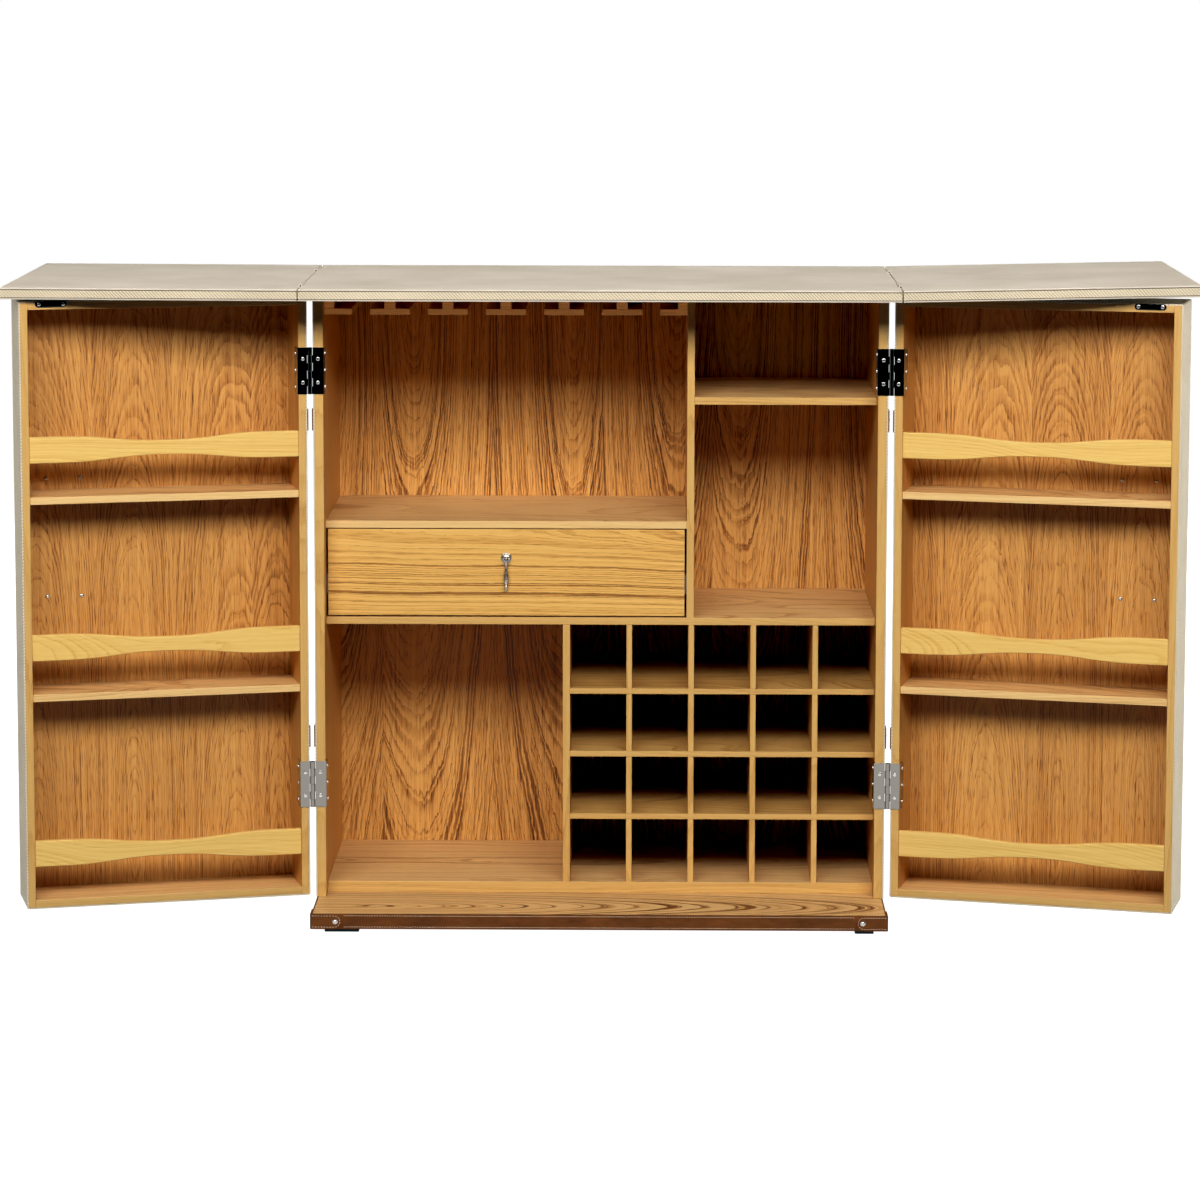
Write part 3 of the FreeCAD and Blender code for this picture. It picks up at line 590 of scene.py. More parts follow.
# woods for the carcass and for each door, whose rims face the viewer when open
carcassKinds = ("panel", "upright", "shelf", "paleShelf", "step", "drawer", "rail", "box", "rack")
doorKinds = ("doorPanel", "upright", "shelf", "paleShelf", "guard")
woods = {}
for place, turn in places.items():
    front = -yWay if place == "carcass" else turn.inverted().to_3x3() @ yWay
    for kind in carcassKinds if place == "carcass" else doorKinds:
        woods[kind, place] = makeWood(kind + "_" + place, woodLooks[kind], turn, front)
print("woods mixed:", len(woods))

# leatherette with a slanting rib, crossed by a finer cord; lengths in millimetres
twillLook = dict(
    pitch=5.2, cross=2.0, step=0.37, wobble=1.4, wobbleNoise=(60.0, 1.0), stainNoise=(9.0, 3.0),
    ribShare=0.65, cordShare=0.35, grooveShadeShare=0.75, stainShare=0.3, gloss=0.55, bump=0.8, bumpDeep=0.6,
)
ribWave = [(0.0, 0.0), (0.22, 0.75), (0.5, 1.0), (0.8, 0.7), (1.0, 0.0)]
cordWave = [(0.0, 0.0), (0.3, 1.0), (0.7, 1.0), (1.0, 0.0)]
twillTones = tonesOf((0.15, 0.75), (130, 111, 81), (234, 220, 192))


def makeTwill(name, look, place):
    material, tree, shader = newMaterial(name)
    calc = partial(mathOf, tree)
    point = piecePoint(tree, place)
    x, y, z = splitPoint(tree, point)
    flat = calc("ADD", x, y)
    wobble = calc("MULTIPLY", noiseOf(tree, point, *look["wobbleNoise"]), look["wobble"] * mm)
    slant = calc("ADD", calc("ADD", flat, z), wobble)
    rib = calc("DIVIDE", slant, look["pitch"] * mm)
    ribHeight = rampOf(tree, calc("FRACT", rib), ribWave)
    cord = calc("DIVIDE", calc("SUBTRACT", flat, z), look["cross"] * mm)
    stepped = calc("MULTIPLY_ADD", calc("FLOOR", rib), look["step"], cord)
    cordHeight = rampOf(tree, calc("FRACT", stepped), cordWave)
    # colour from the stains, and darker where the rib and cord sit lower: painted shade in the grooves
    ribPart = calc("MULTIPLY", ribHeight, look["ribShare"])
    height = calc("MULTIPLY_ADD", cordHeight, look["cordShare"], ribPart)
    stain = noiseOf(tree, point, *look["stainNoise"])
    grooveShadePart = calc("MULTIPLY", height, look["grooveShadeShare"])
    shade = calc("MULTIPLY_ADD", stain, look["stainShare"], grooveShadePart)
    feed(tree, shader.inputs["Base Color"], rampOf(tree, shade, twillTones))
    shader.inputs["Roughness"].default_value = look["gloss"]
    bumpOf(tree, shader, height, look)
    return material


# smooth cream covering of the counter, and saddle leather for the plinth band, the tabs and the handles
creamLook = dict(
    light=tint(214, 204, 189), dark=tint(198, 187, 170), cloud=(7.0, 4.0, 0.6), pebble=(900.0, 2.0),
    gloss=0.5, specular=0.25, bump=0.3, bumpDeep=0.2,
)
leatherLook = dict(
    light=tint(132, 82, 40), dark=tint(100, 60, 28), cloud=((26.0, 26.0, 60.0), 5.0, 0.65), cells=900.0,
    gloss=0.62, specular=0.2, bump=0.35, bumpDeep=0.3,
)


def makeHide(name, look):
    material, tree, shader = newMaterial(name)
    point = piecePoint(tree)
    cloud = noiseOf(tree, point, *look["cloud"])
    feed(tree, shader.inputs["Base Color"], cloudOf(tree, cloud, look["dark"], look["light"]))
    sheenOf(shader, look)
    if "cells" in look:
        cells = addNode(tree, "ShaderNodeTexVoronoi")
        feed(tree, cells.inputs["Vector"], stretched(tree, point, look["cells"]))
        cells.inputs["Scale"].default_value = 1.0
        height = cells.outputs["Distance"]
    else:
        height = noiseOf(tree, point, *look["pebble"])
    bumpOf(tree, shader, height, look)
    return material


# metals, with a little uneven polish
metalLooks = {
    "steel": dict(colour=tint(140, 136, 129), low=0.06, high=0.12),
    "screw": dict(colour=tint(208, 205, 200), low=0.18, high=0.3),
    "rivet": dict(colour=tint(190, 187, 182), low=0.2, high=0.32),
    "nickel": dict(colour=tint(176, 169, 160), low=0.22, high=0.34),
    "zinc": dict(colour=tint(190, 192, 194), low=0.35, high=0.5),
    # cream colour: partly the hinges' own cream finish, partly a painted reflection of the white backdrop
    "cream_and_reflection": dict(colour=tint(214, 205, 191), low=0.4, high=0.55, metallic=0.3),
}
rubNoise = ((90.0, 90.0, 300.0), 3.0)


def makeMetal(name, look):
    material, tree, shader = newMaterial(name)
    point = piecePoint(tree)
    rub = noiseOf(tree, point, *rubNoise)
    shader.inputs["Base Color"].default_value = look["colour"]
    shader.inputs["Metallic"].default_value = look.get("metallic", 1.0)
    feed(tree, shader.inputs["Roughness"], cloudOf(tree, rub, look["low"], look["high"]))
    return material


# rubber, magnet, thread and the painted shade in the counter's grooves: one colour with a slight grain
plainLook = dict(detail=2.0, bump=0.2, bumpDeep=0.3)


def makePlain(name, colour, gloss, grain):
    material, tree, shader = newMaterial(name)
    point = piecePoint(tree)
    shader.inputs["Base Color"].default_value = colour
    shader.inputs["Roughness"].default_value = gloss
    bumpOf(tree, shader, noiseOf(tree, point, grain, plainLook["detail"]), plainLook)
    return material


twills = {place: makeTwill("Twill_" + place, twillLook, turn) for place, turn in places.items()}
cream = makeHide("Cream_covering", creamLook)
leather = makeHide("Saddle_leather", leatherLook)
metals = {kind: makeMetal(kind.title(), look) for kind, look in metalLooks.items()}
rubber = makePlain("Black_rubber", tint(16, 16, 17), gloss=0.6, grain=400.0)
ferrite = makePlain("Dark_magnet", tint(42, 42, 44), gloss=0.5, grain=300.0)
paleThread = makePlain("Pale_thread", tint(234, 220, 194), gloss=0.8, grain=2000.0)
# painted shade: a dark colour for the recessed faces of the counter's grooves
paintedSeamShade = makePlain("Seam_shadow", tint(104, 90, 70), gloss=0.8, grain=2000.0)
print("coverings and metals mixed")

# every board: its wood and how far its edges are eased, in millimetres
boards = {
    "plinth": ("step", 0.8),
    "left_side": ("upright", 0.7),
    "right_side": ("upright", 0.7),
    "back_panel": ("panel", 0.0),
    "carcass_top": ("shelf", 0.5),
    "floor_panel": ("shelf", 0.7),
    "middle_shelf": ("shelf", 0.7),
    "drawer_shelf": ("paleShelf", 0.7),
    "right_shelf": ("shelf", 0.7),
    "upper_divider": ("upright", 0.7),
    "lower_divider": ("upright", 0.7),
    "rack_shelves": ("rack", 0.5),
    "rack_uprights": ("upright", 0.5),
    "glass_rails": ("rail", 0.6),
    "drawer_front": ("drawer", 0.9),
    "drawer_box": ("box", 0.8),
    "drawer_base": ("box", 0.0),
}
for door in doors:
    boards[door + "_stiles"] = ("upright", 0.7)
    boards[door + "_ends"] = ("shelf", 0.7)
    boards[door + "_panel"] = ("doorPanel", 0.0)
    boards[door + "_shelves"] = ("paleShelf", 0.7)


def easedNode(node, material, width):
    piece = mergedCopy(node, "Eased_" + node)
    soften(piece, {"ease": width})
    fit(piece, node, material)


for node, (kind, width) in boards.items():
    place = bodyOf[node] if bodyOf[node] in places else "carcass"
    if width:
        easedNode(node, woods[kind, place], width)
    else:
        dress(nodes[node], woods[kind, place])
print("boards eased:", len(boards))

# coverings and small metal that keep their CAD shape
plainNodes = {
    "body_cover": twills["carcass"],
    "left_door_cover": twills["left_door"],
    "right_door_cover": twills["right_door"],
    "magnet_catches": ferrite,
    "hinge_pins": metals["steel"],
    "drawer_runners": metals["zinc"],
    "drawer_bars": metals["zinc"],
}
for node, material in plainNodes.items():
    dress(nodes[node], material)

# metal and leather whose CAD shape only needs its edges eased
easedNodes = {
    # seam and leaf hinges in a cream colour that is partly painted reflection
    "top_hinges": (metals["cream_and_reflection"], 0.25),
    "left_leaf_hinges": (metals["cream_and_reflection"], 0.25),
    "right_leaf_hinges": (metals["cream_and_reflection"], 0.25),
    "plinth_band": (leather, 0.5),
}
for door in doors:
    easedNodes[door + "_handle_caps"] = (metals["steel"], 0.6)
for node, (material, width) in easedNodes.items():
    easedNode(node, material, width)

# wrap-round hinges, with a rounded bend where the plate turns on to the inside of the stile
hingeLook = dict(bend=1.3, bendSteps=4, tall=60.0, near=0.1, seamReach=3.0, ease=0.25, easeFrom=50)
seam = jointOf("left_door_hinge")["pos_m"][1]
for node in ("body_hinges", "left_door_hinges", "right_door_hinges"):
    place = bodyOf[node]
    piece = mergedCopy(node, "Hinges_" + place)
    turnPiece(piece, places[place])
    inside = min(abs(vertex.co.x) for vertex in piece.data.vertices)

    def onBend(end):
        atInside = abs(abs(end.x) - inside) < hingeLook["near"] * mm
        return atInside and abs(end.y - seam) < hingeLook["seamReach"] * mm

    pickEdges(piece, lambda a, b: abs(a.z - b.z) > hingeLook["tall"] * mm and onBend(a) and onBend(b))
    bevelPicked(hingeLook["bend"] * mm, hingeLook["bendSteps"])
    soften(piece, hingeLook)
    toRest(piece, place)
    fit(piece, node, metals["steel"])

# foot pads, the fronts of the front pair brought up behind the band
footLook = dict(forward=9.0, reach=100.0, ease=0.6)
feet = mergedCopy("feet", "Feet")
frontFeet = [(low + high) / 2 for low, high in solidBoxes("feet") if low.y < 0]
for vertex in feet.data.vertices:
    for middle in frontFeet:
        if abs(vertex.co.x - middle.x) < footLook["reach"] * mm and vertex.co.y < middle.y:
            vertex.co.y -= footLook["forward"] * mm
soften(feet, footLook)
fit(feet, "feet", rubber)
print("hinges, band and feet eased")

# counter boards: smooth top, a grooved line under its lip, a ribbed band and a small foot; the grooves' recessed
# faces get painted shade
counterLook = dict(
    lip=2.6, line=1.3, lineDepth=0.9, lineShare=0.7, footLine=1.0, foot=2.2, round=1.6, roundSteps=4,
    hingeRoom=0.3,
)


def makeCounter(name, low, high):
    piece = addBlock(name, low, high)
    top = high[2]
    upper = top - counterLook["lip"] * mm
    lower = low[2] + counterLook["foot"] * mm
    lines = ((upper - counterLook["line"] * mm, upper), (lower, lower + counterLook["footLine"] * mm))
    for line in lines:
        for level in line:
            cutAcross(piece, (0, 0, level), zWay)
    for start, end in lines:
        pickFaces(piece, lambda face: start < face.center.z < end and isUpright(face))
        bpy.ops.mesh.extrude_region()
        bpy.ops.transform.shrink_fatten(value=-counterLook["lineDepth"] * mm, use_even_offset=True)
        objectMode()
    pickEdges(piece, lambda a, b: min(a.z, b.z) > top - hair)
    bevelPicked(counterLook["round"] * mm, counterLook["roundSteps"])
    return piece


# room for the hinges in the seam, then the finishes
def finishCounter(piece, low, high, hinges):
    room = Vector((1, 1, 1)) * counterLook["hingeRoom"] * mm
    for hingeLow, hingeHigh in hinges:
        cutOut(piece, hingeLow - room, hingeHigh + room)
    dress(piece, cream, twills["carcass"], paintedSeamShade)
    upper = high[2] - (counterLook["lip"] + counterLook["line"]) * mm
    lower = low[2] + (counterLook["foot"] + counterLook["footLine"]) * mm
    inside = counterLook["lineDepth"] * mm * counterLook["lineShare"]
    for face in piece.data.polygons:
        x, y, z = face.center
        edge = min(high[0] - x, x - low[0], high[1] - y, y - low[1])
        if isUpright(face) and lower < z < upper:
            face.material_index = 1
        # the recessed faces of the grooves get the painted shade
        elif isUpright(face) and edge > inside:
            face.material_index = 2


centreLow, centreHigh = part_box("centre_top")
seamRooms = []
for low, high in solidBoxes("top_hinges"):
    side = 1 if low.x > 0 else -1
    axisX = jointOf("right_leaf_hinge")["pos_m"][0] * side
    half = max(abs(low.x - axisX), abs(high.x - axisX))
    seamRooms.append((Vector((axisX - half, low.y, low.z)), Vector((axisX + half, high.y, high.z))))
centre = makeCounter("Counter_centre", centreLow, centreHigh)
finishCounter(centre, centreLow, centreHigh, seamRooms)
smooth(centre)
fit(centre, "centre_top")
for leaf, side in (("left_leaf", -1), ("right_leaf", 1)):
    joint = jointOf(leaf + "_hinge")
    axis = Vector(joint["pos_m"])
    rise = math.pi + math.radians(joint["range_deg"][0])
    boxLow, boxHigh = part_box(leaf)
    thick = centreHigh.z - centreLow.z
    length = (boxHigh.x - boxLow.x - thick * math.sin(rise)) / math.cos(rise)
    near = 2 * axis.x - side * centreHigh.x
    ends = sorted((near, near + side * length))
    low = Vector((ends[0], centreLow.y, centreLow.z))
    high = Vector((ends[1], centreHigh.y, centreHigh.z))
    piece = makeCounter("Counter_" + leaf, low, high)
    finishCounter(piece, low, high, [room for room in seamRooms if room[0].x * side > 0])
    tip = Matrix.Translation(axis) @ Matrix.Rotation(-side * rise, 4, "Y") @ Matrix.Translation(-axis)
    turnPiece(piece, tip)
    smooth(piece)
    fit(piece, leaf)
print("counter made")

# guard rails, waisted in the middle with rounded edges
guardLook = dict(steps=56, long=100.0, flatShare=0.1, waist=23.0, ease=1.6, easeSteps=3, easeFrom=50)


# the S of the CAD outline, solved for its height at x
def easeBetween(x, start, end, halvings=24):
    low, high = 0.0, 1.0
    for halving in range(halvings):
        t = (low + high) / 2
        if start + (end - start) * (1.5 * t * (1 - t) + t ** 3) < x:
            low = t
        else:
            high = t
    return 3 * low ** 2 - 2 * low ** 3


for door in doors:
    pieces = []
    for low, high in solidBoxes(door + "_guards"):
        piece = addBlock("Guard", low, high)
        pickEdges(piece, lambda a, b: abs(a.x - b.x) > guardLook["long"] * mm)
        bpy.ops.mesh.subdivide(number_cuts=guardLook["steps"] - 1)
        objectMode()
        span = high.x - low.x
        middle = (low.z + high.z) / 2
        dip = (high.z - low.z - guardLook["waist"] * mm) / 2
        flat = guardLook["flatShare"] * span
        for vertex in piece.data.vertices:
            fromEnd = min(vertex.co.x - low.x, high.x - vertex.co.x)
            if fromEnd > flat:
                way = -1 if vertex.co.z > middle else 1
                vertex.co.z += way * dip * easeBetween(fromEnd, flat, span / 2)
        pieces.append(soften(piece, guardLook))
    rail = joinPieces("Guards_" + door, pieces)
    toRest(rail, door)
    fit(rail, door + "_guards", woods["guard", door])
print("guards shaped")

# one stitch: six-sided thread with tapered ends, lying along +X; body, taper and tip are shares
stitchLook = dict(length=2.7, thread=0.85, pitch=4.0, sides=6, body=0.6, taper=0.2, tip=0.45)


def makeStitch():
    tip = stitchLook["tip"]
    thread = stitchLook["thread"] * mm
    piece = addRound("Stitch", 0.5, stitchLook["body"], (0, 0, 0), stitchLook["sides"])  # one wide and long
    for way in (-1, 1):
        pickFaces(piece, lambda face: looksAlong(face, zWay * way))
        bpy.ops.mesh.extrude_region()
        bpy.ops.transform.translate(value=(0, 0, stitchLook["taper"] * way))
        bpy.ops.transform.resize(value=(tip, tip, 1), center_override=(0, 0, 0.5 * way))
        objectMode()
    piece.rotation_euler = (0, math.pi / 2, 0)
    applyPlace(piece)
    piece.scale = (stitchLook["length"] * mm, thread, thread)
    applyPlace(piece)
    return piece


# spot with +X along the row and +Z out of the surface
def rowSpot(point, way, out):
    x = way.normalized()
    z = (out - x * out.dot(x)).normalized()
    turn = Matrix((x, z.cross(x), z)).transposed()
    return Matrix.Translation(point) @ turn.to_4x4()


# evenly spaced spots along a run of points
def rowSpots(run, out, pitch):
    lengths = [(b - a).length for a, b in zip(run, run[1:])]
    total = sum(lengths)
    count = max(1, int(total / pitch))
    spots = []
    for i in range(count):
        goal = (i + 0.5) * total / count
        for (a, b), length in zip(zip(run, run[1:]), lengths):
            if goal <= length:
                spots.append(rowSpot(a + (b - a) * (goal / length), b - a, out))
                break
            goal -= length
    return spots


stitch = makeStitch()

# stitch rows along the plinth band, between the corner tabs
bandLook = dict(inset=3.4, tabReach=51.0, tabSide=47.0)
bandLow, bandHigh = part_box("plinth_band")
bandSpots = []
frontReach = bandLook["tabReach"] * mm
sideReach = bandLook["tabSide"] * mm
pitch = stitchLook["pitch"] * mm
for level in (bandLow.z + bandLook["inset"] * mm, bandHigh.z - bandLook["inset"] * mm):
    for y, out in ((bandLow.y, -yWay), (bandHigh.y, yWay)):
        row = [Vector((bandLow.x + frontReach, y, level)), Vector((bandHigh.x - frontReach, y, level))]
        bandSpots += rowSpots(row, out, pitch)
    for x, out in ((bandLow.x, -xWay), (bandHigh.x, xWay)):
        row = [Vector((x, bandLow.y + sideReach, level)), Vector((x, bandHigh.y - sideReach, level))]
        bandSpots += rowSpots(row, out, pitch)
bandRows = copyTo("Band_stitches", stitch, bandSpots)
fit(bandRows, "plinth_band", paleThread, inPlace=False)

# leather tab with one round end, from the origin along +X and standing on z = 0
tabLook = dict(
    thick=2.0, sides=48, ease=0.6, easeFrom=60, corner=10.0, stitchInset=3.4, pitch=4.6, rowStart=2.0,
    arcSteps=24,
)


def makeTab(length, width):
    thick = tabLook["thick"] * mm
    middle = length - width / 2
    piece = addRound("Tab", width / 2, thick, (middle, 0, thick / 2), tabLook["sides"])
    cutAcross(piece, (middle, 0, 0), xWay, clear=True, fill=True)
    pickFaces(piece, lambda face: looksAlong(face, -xWay))
    bpy.ops.mesh.extrude_region()
    bpy.ops.transform.translate(value=(-middle, 0, 0))
    objectMode()
    return soften(piece, tabLook)


def tabRows(length, width):
    radius = width / 2 - tabLook["stitchInset"] * mm
    middle = length - width / 2
    top = tabLook["thick"] * mm
    start = tabLook["rowStart"] * mm
    run = [Vector((start, -radius, top))]
    for i in range(tabLook["arcSteps"] + 1):
        angle = math.pi * i / tabLook["arcSteps"]
        run.append(Vector((middle + radius * math.sin(angle), -radius * math.cos(angle), top)))
    run.append(Vector((start, radius, top)))
    return rowSpots(run, zWay, tabLook["pitch"] * mm)


# tabs of a node, each from its box in the pattern frame: a pair round a plinth corner, or one flat on a side
def makeTabs(node):
    pieces = []
    spots = []
    thick = tabLook["thick"] * mm

    def lay(length, width, point, way, out):
        spot = rowSpot(point, way, out)
        pieces.append(turnPiece(makeTab(length, width), spot))
        spots.extend(spot @ row for row in tabRows(length, width))

    for low, high in solidBoxes(node):
        size = high - low
        middle = (low + high) / 2
        side = 1 if low.x > 0 else -1
        outerX = high.x if side > 0 else low.x
        innerX = outerX - side * thick
        if size.x > tabLook["corner"] * mm:
            end = 1 if middle.y > 0 else -1
            outerY = high.y if end > 0 else low.y
            innerY = outerY - end * thick
            lay(size.x, size.z, Vector((outerX, innerY, middle.z)), xWay * -side, yWay * end)
            lay(size.y, size.z, Vector((innerX, outerY, middle.z)), yWay * -end, xWay * side)
        else:
            way = 1 if bodyOf[node] == "carcass" else -1
            seamY = low.y if way > 0 else high.y
            lay(size.y, size.z, Vector((innerX, seamY, middle.z)), yWay * way, xWay * side)
    return pieces, spots


for node in ("leather_tabs", "left_door_tabs", "right_door_tabs"):
    place = bodyOf[node]
    pieces, spots = makeTabs(node)
    tabs = joinPieces("Tabs_" + place, pieces)
    rows = copyTo("Tab_stitches_" + place, stitch, spots)
    toRest(tabs, place)
    toRest(rows, place)
    fit(tabs, node, leather)
    fit(rows, node, paleThread, inPlace=False)
print("leather cut and sewn")


# turned shape from an outline of (radius, height) in millimetres, standing along +Z
def spun(name, outline, steps):
    mesh = bpy.data.meshes.new(name)
    points = [(radius * mm, 0, height * mm) for radius, height in outline]
    mesh.from_pydata(points, [(i, i + 1) for i in range(len(points) - 1)], [])
    piece = bpy.data.objects.new(name, mesh)
    bpy.context.scene.collection.objects.link(piece)
    pickAll(piece)
    bpy.ops.mesh.spin(steps=steps, angle=2 * math.pi, center=(0, 0, 0), axis=(0, 0, 1))
    bpy.ops.mesh.select_all(action="SELECT")
    bpy.ops.mesh.remove_doubles(threshold=hair)
    bpy.ops.mesh.normals_make_consistent(inside=False)
    objectMode()
    smooth(piece, shopLook["turnedSmooth"])
    return piece


# fasteners, each modelled once at its foot and pointing along +Z; outlines as (radius, height)
screwLook = dict(
    radius=3.0, head=1.2, sides=20, ease=0.5, easeSteps=2, slotLong=3.9, slotWide=0.85, slotDeep=0.8,
    smooth=30,
)
rivetOutline = [
    (0.0, 1.8), (1.2, 1.72), (2.3, 1.4), (3.1, 0.85), (3.4, 0.55), (3.7, 0.5), (4.2, 0.38), (4.35, 0.2),
    (4.35, 0.0), (0.0, 0.0),
]
boltOutline = [
    (0.0, 0.9), (1.0, 0.9), (1.15, 1.56), (2.0, 1.4), (2.8, 1.0), (3.35, 0.5), (3.6, 0.15), (3.6, 0.0),
    (0.0, 0.0),
]
turnedSides = {"rivet": 24, "bolt": 20}


def makeScrew():
    head = screwLook["head"] * mm
    piece = addRound("Screw", screwLook["radius"] * mm, head, (0, 0, head / 2), screwLook["sides"])
    pickEdges(piece, lambda a, b: min(a.z, b.z) > head - hair)
    bevelPicked(screwLook["ease"] * mm, screwLook["easeSteps"])
    long = screwLook["slotLong"] * mm / 2
    wide = screwLook["slotWide"] * mm / 2
    slotFoot = head - screwLook["slotDeep"] * mm
    for x, y in ((long, wide), (wide, long)):
        cutOut(piece, (-x, -y, slotFoot), (x, y, head * 2))
    smooth(piece, screwLook["smooth"])
    return piece


screw = makeScrew()
rivet = spun("Rivet", rivetOutline, turnedSides["rivet"])
boltHead = spun("Bolt", boltOutline, turnedSides["bolt"])

# sizes from which a box is a bolt or a rivet, where the heads sit, and the turn from one to the next
fastenerLook = dict(bolt=12.0, rivet=8.0, boltSeat=1.6, rivetHead=1.8, tallHead=1.4, lift=0.3, spin=1.3)


# spots for every screw, bolt and rivet of a node, told apart by the size of its box
def fastenerSpots(node):
    spots = {"screw": [], "bolt": [], "rivet": []}
    for number, (low, high) in enumerate(solidBoxes(node)):
        size = high - low
        seat = (low + high) / 2
        if max(size) > fastenerLook["bolt"] * mm:
            # a bolt through the door, with a head at each end
            for way, end in ((-1, low.y), (1, high.y)):
                seat.y = end - way * fastenerLook["boltSeat"] * mm
                spots["bolt"].append(seatSpot(seat, yWay * way, number))
            continue
        kind = "rivet" if max(size) > fastenerLook["rivet"] * mm else "screw"
        head = fastenerLook["rivetHead"] if kind == "rivet" else screwLook["head"]
        axis = min(range(3), key=lambda i: size[i])
        out = Vector((0, 0, 0))
        if axis == 1:
            out.y = 1 if bodyOf[node] != "carcass" or seat.y > 0 else -1
        else:
            # rivets face out of the sides, screws into the chest
            outward = 1 if seat.x > 0 else -1
            out.x = outward if kind == "rivet" else -outward
        face = high if out[axis] > 0 else low
        seat[axis] = face[axis] - out[axis] * head * mm
        if kind == "screw" and axis == 1 and size.y > fastenerLook["tallHead"] * mm:
            seat.y += out.y * fastenerLook["lift"] * mm
        spots[kind].append(seatSpot(seat, out, number * fastenerLook["spin"]))
    return spots


fastenerModels = {"screw": (screw, "screw"), "bolt": (boltHead, "rivet"), "rivet": (rivet, "rivet")}
for node in ("hinge_screws", "tab_rivets", "left_door_fixings", "right_door_fixings"):
    inPlace = True
    for kind, spots in fastenerSpots(node).items():
        if spots:
            model, finish = fastenerModels[kind]
            piece = copyTo(kind.title() + "s_" + node, model, spots)
            toRest(piece, bodyOf[node])
            smooth(piece)
            fit(piece, node, metals[finish], inPlace)
            inPlace = False
print("fasteners set")

# strike plates on the doors: round-ended, with eased edges
strikeLook = dict(endShare=0.498, endSteps=10, ease=0.4, easeFrom=50)
for door in doors:
    low, high = solidBoxes(door + "_strike")[0]
    piece = addBlock("Strike_" + door, low, high)
    pickEdges(piece, lambda a, b: abs(a.y - b.y) > (high.y - low.y) / 2)
    bevelPicked((high.z - low.z) * strikeLook["endShare"], strikeLook["endSteps"])
    soften(piece, strikeLook)
    toRest(piece, door)
    fit(piece, door + "_strike", metals["steel"])

# drop pull: ringed rosette with a ball post, and a turned drop on a small fork
pullLook = dict(
    ball=2.5, ballAt=6.8, ballAngles=(-40, -15, 10, 35, 60, 80), rosetteSides=36, dropSides=32,
)
rosetteOutline = [
    (8.8, 0.0), (8.8, 0.5), (8.4, 1.0), (7.7, 1.25), (7.0, 1.05), (6.5, 0.8), (6.1, 0.85), (5.6, 1.3),
    (4.6, 1.9), (3.2, 2.3), (2.2, 2.4), (1.9, 4.6),
]
for angle in pullLook["ballAngles"]:
    turn = math.radians(angle)
    out = pullLook["ball"] * math.cos(turn)
    rosetteOutline.append((out, pullLook["ballAt"] + pullLook["ball"] * math.sin(turn)))
rosetteOutline.append((0.0, pullLook["ballAt"] + pullLook["ball"]))
dropOutline = [
    (0.0, -5.2), (2.2, -5.2), (2.64, -5.6), (2.5, -6.6), (2.2, -9.0), (2.12, -12.8), (2.3, -17.0),
    (2.7, -22.0), (3.3, -27.0), (3.95, -31.5), (4.25, -34.2), (4.2, -35.4), (3.7, -36.2), (3.9, -37.0),
    (3.75, -38.2), (3.2, -40.4), (2.4, -42.0), (1.95, -42.9), (2.4, -43.8), (3.0, -45.0), (2.9, -46.0),
    (2.2, -47.2), (2.15, -48.0), (2.5, -49.0), (2.1, -50.4), (1.2, -52.0), (0.4, -53.3), (0.0, -53.5),
]
pullPivot = Vector(jointOf("drawer_pull_swing")["pos_m"])
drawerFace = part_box("drawer_front")[0].y
rosette = spun("Pull_rosette", rosetteOutline, pullLook["rosetteSides"])
turnPiece(rosette, seatSpot(Vector((pullPivot.x, drawerFace, pullPivot.z)), -yWay))
fit(rosette, "pull_rosette", metals["nickel"])
drop = spun("Drop", dropOutline, pullLook["dropSides"])
turnPiece(drop, Matrix.Translation(pullPivot))

forkLook = dict(
    half=4.25, slot=2.75, deep=2.7, foot=6.5, cut=10.0, roundShare=0.98, roundSteps=6, ease=0.45,
    easeFrom=50, pin=1.0, pinShare=2.06, pinSides=16, pinEase=0.3,
)
half = forkLook["half"] * mm
deep = forkLook["deep"] * mm
slot = forkLook["slot"] * mm
cut = forkLook["cut"] * mm
forkLow = pullPivot - Vector((half, deep, forkLook["foot"] * mm))
fork = addBlock("Fork", forkLow, pullPivot + Vector((half, deep, deep)))
pickEdges(fork, lambda a, b: abs(a.x - b.x) > half and min(a.z, b.z) > pullPivot.z)
bevelPicked(deep * forkLook["roundShare"], forkLook["roundSteps"])
cutOut(fork, pullPivot - Vector((slot, cut, slot)), pullPivot + Vector((slot, cut, cut)))
soften(fork, forkLook)
pin = addRound("Pin", forkLook["pin"] * mm, half * forkLook["pinShare"], (0, 0, 0), forkLook["pinSides"])
turnPiece(pin, Matrix.Translation(pullPivot) @ Matrix.Rotation(math.pi / 2, 4, "Y"))
soften(pin, dict(forkLook, ease=forkLook["pinEase"]))
pull = joinPieces("Drop_pull", [drop, fork, pin])
fit(pull, "drop_pull", metals["nickel"])
print("pull turned")

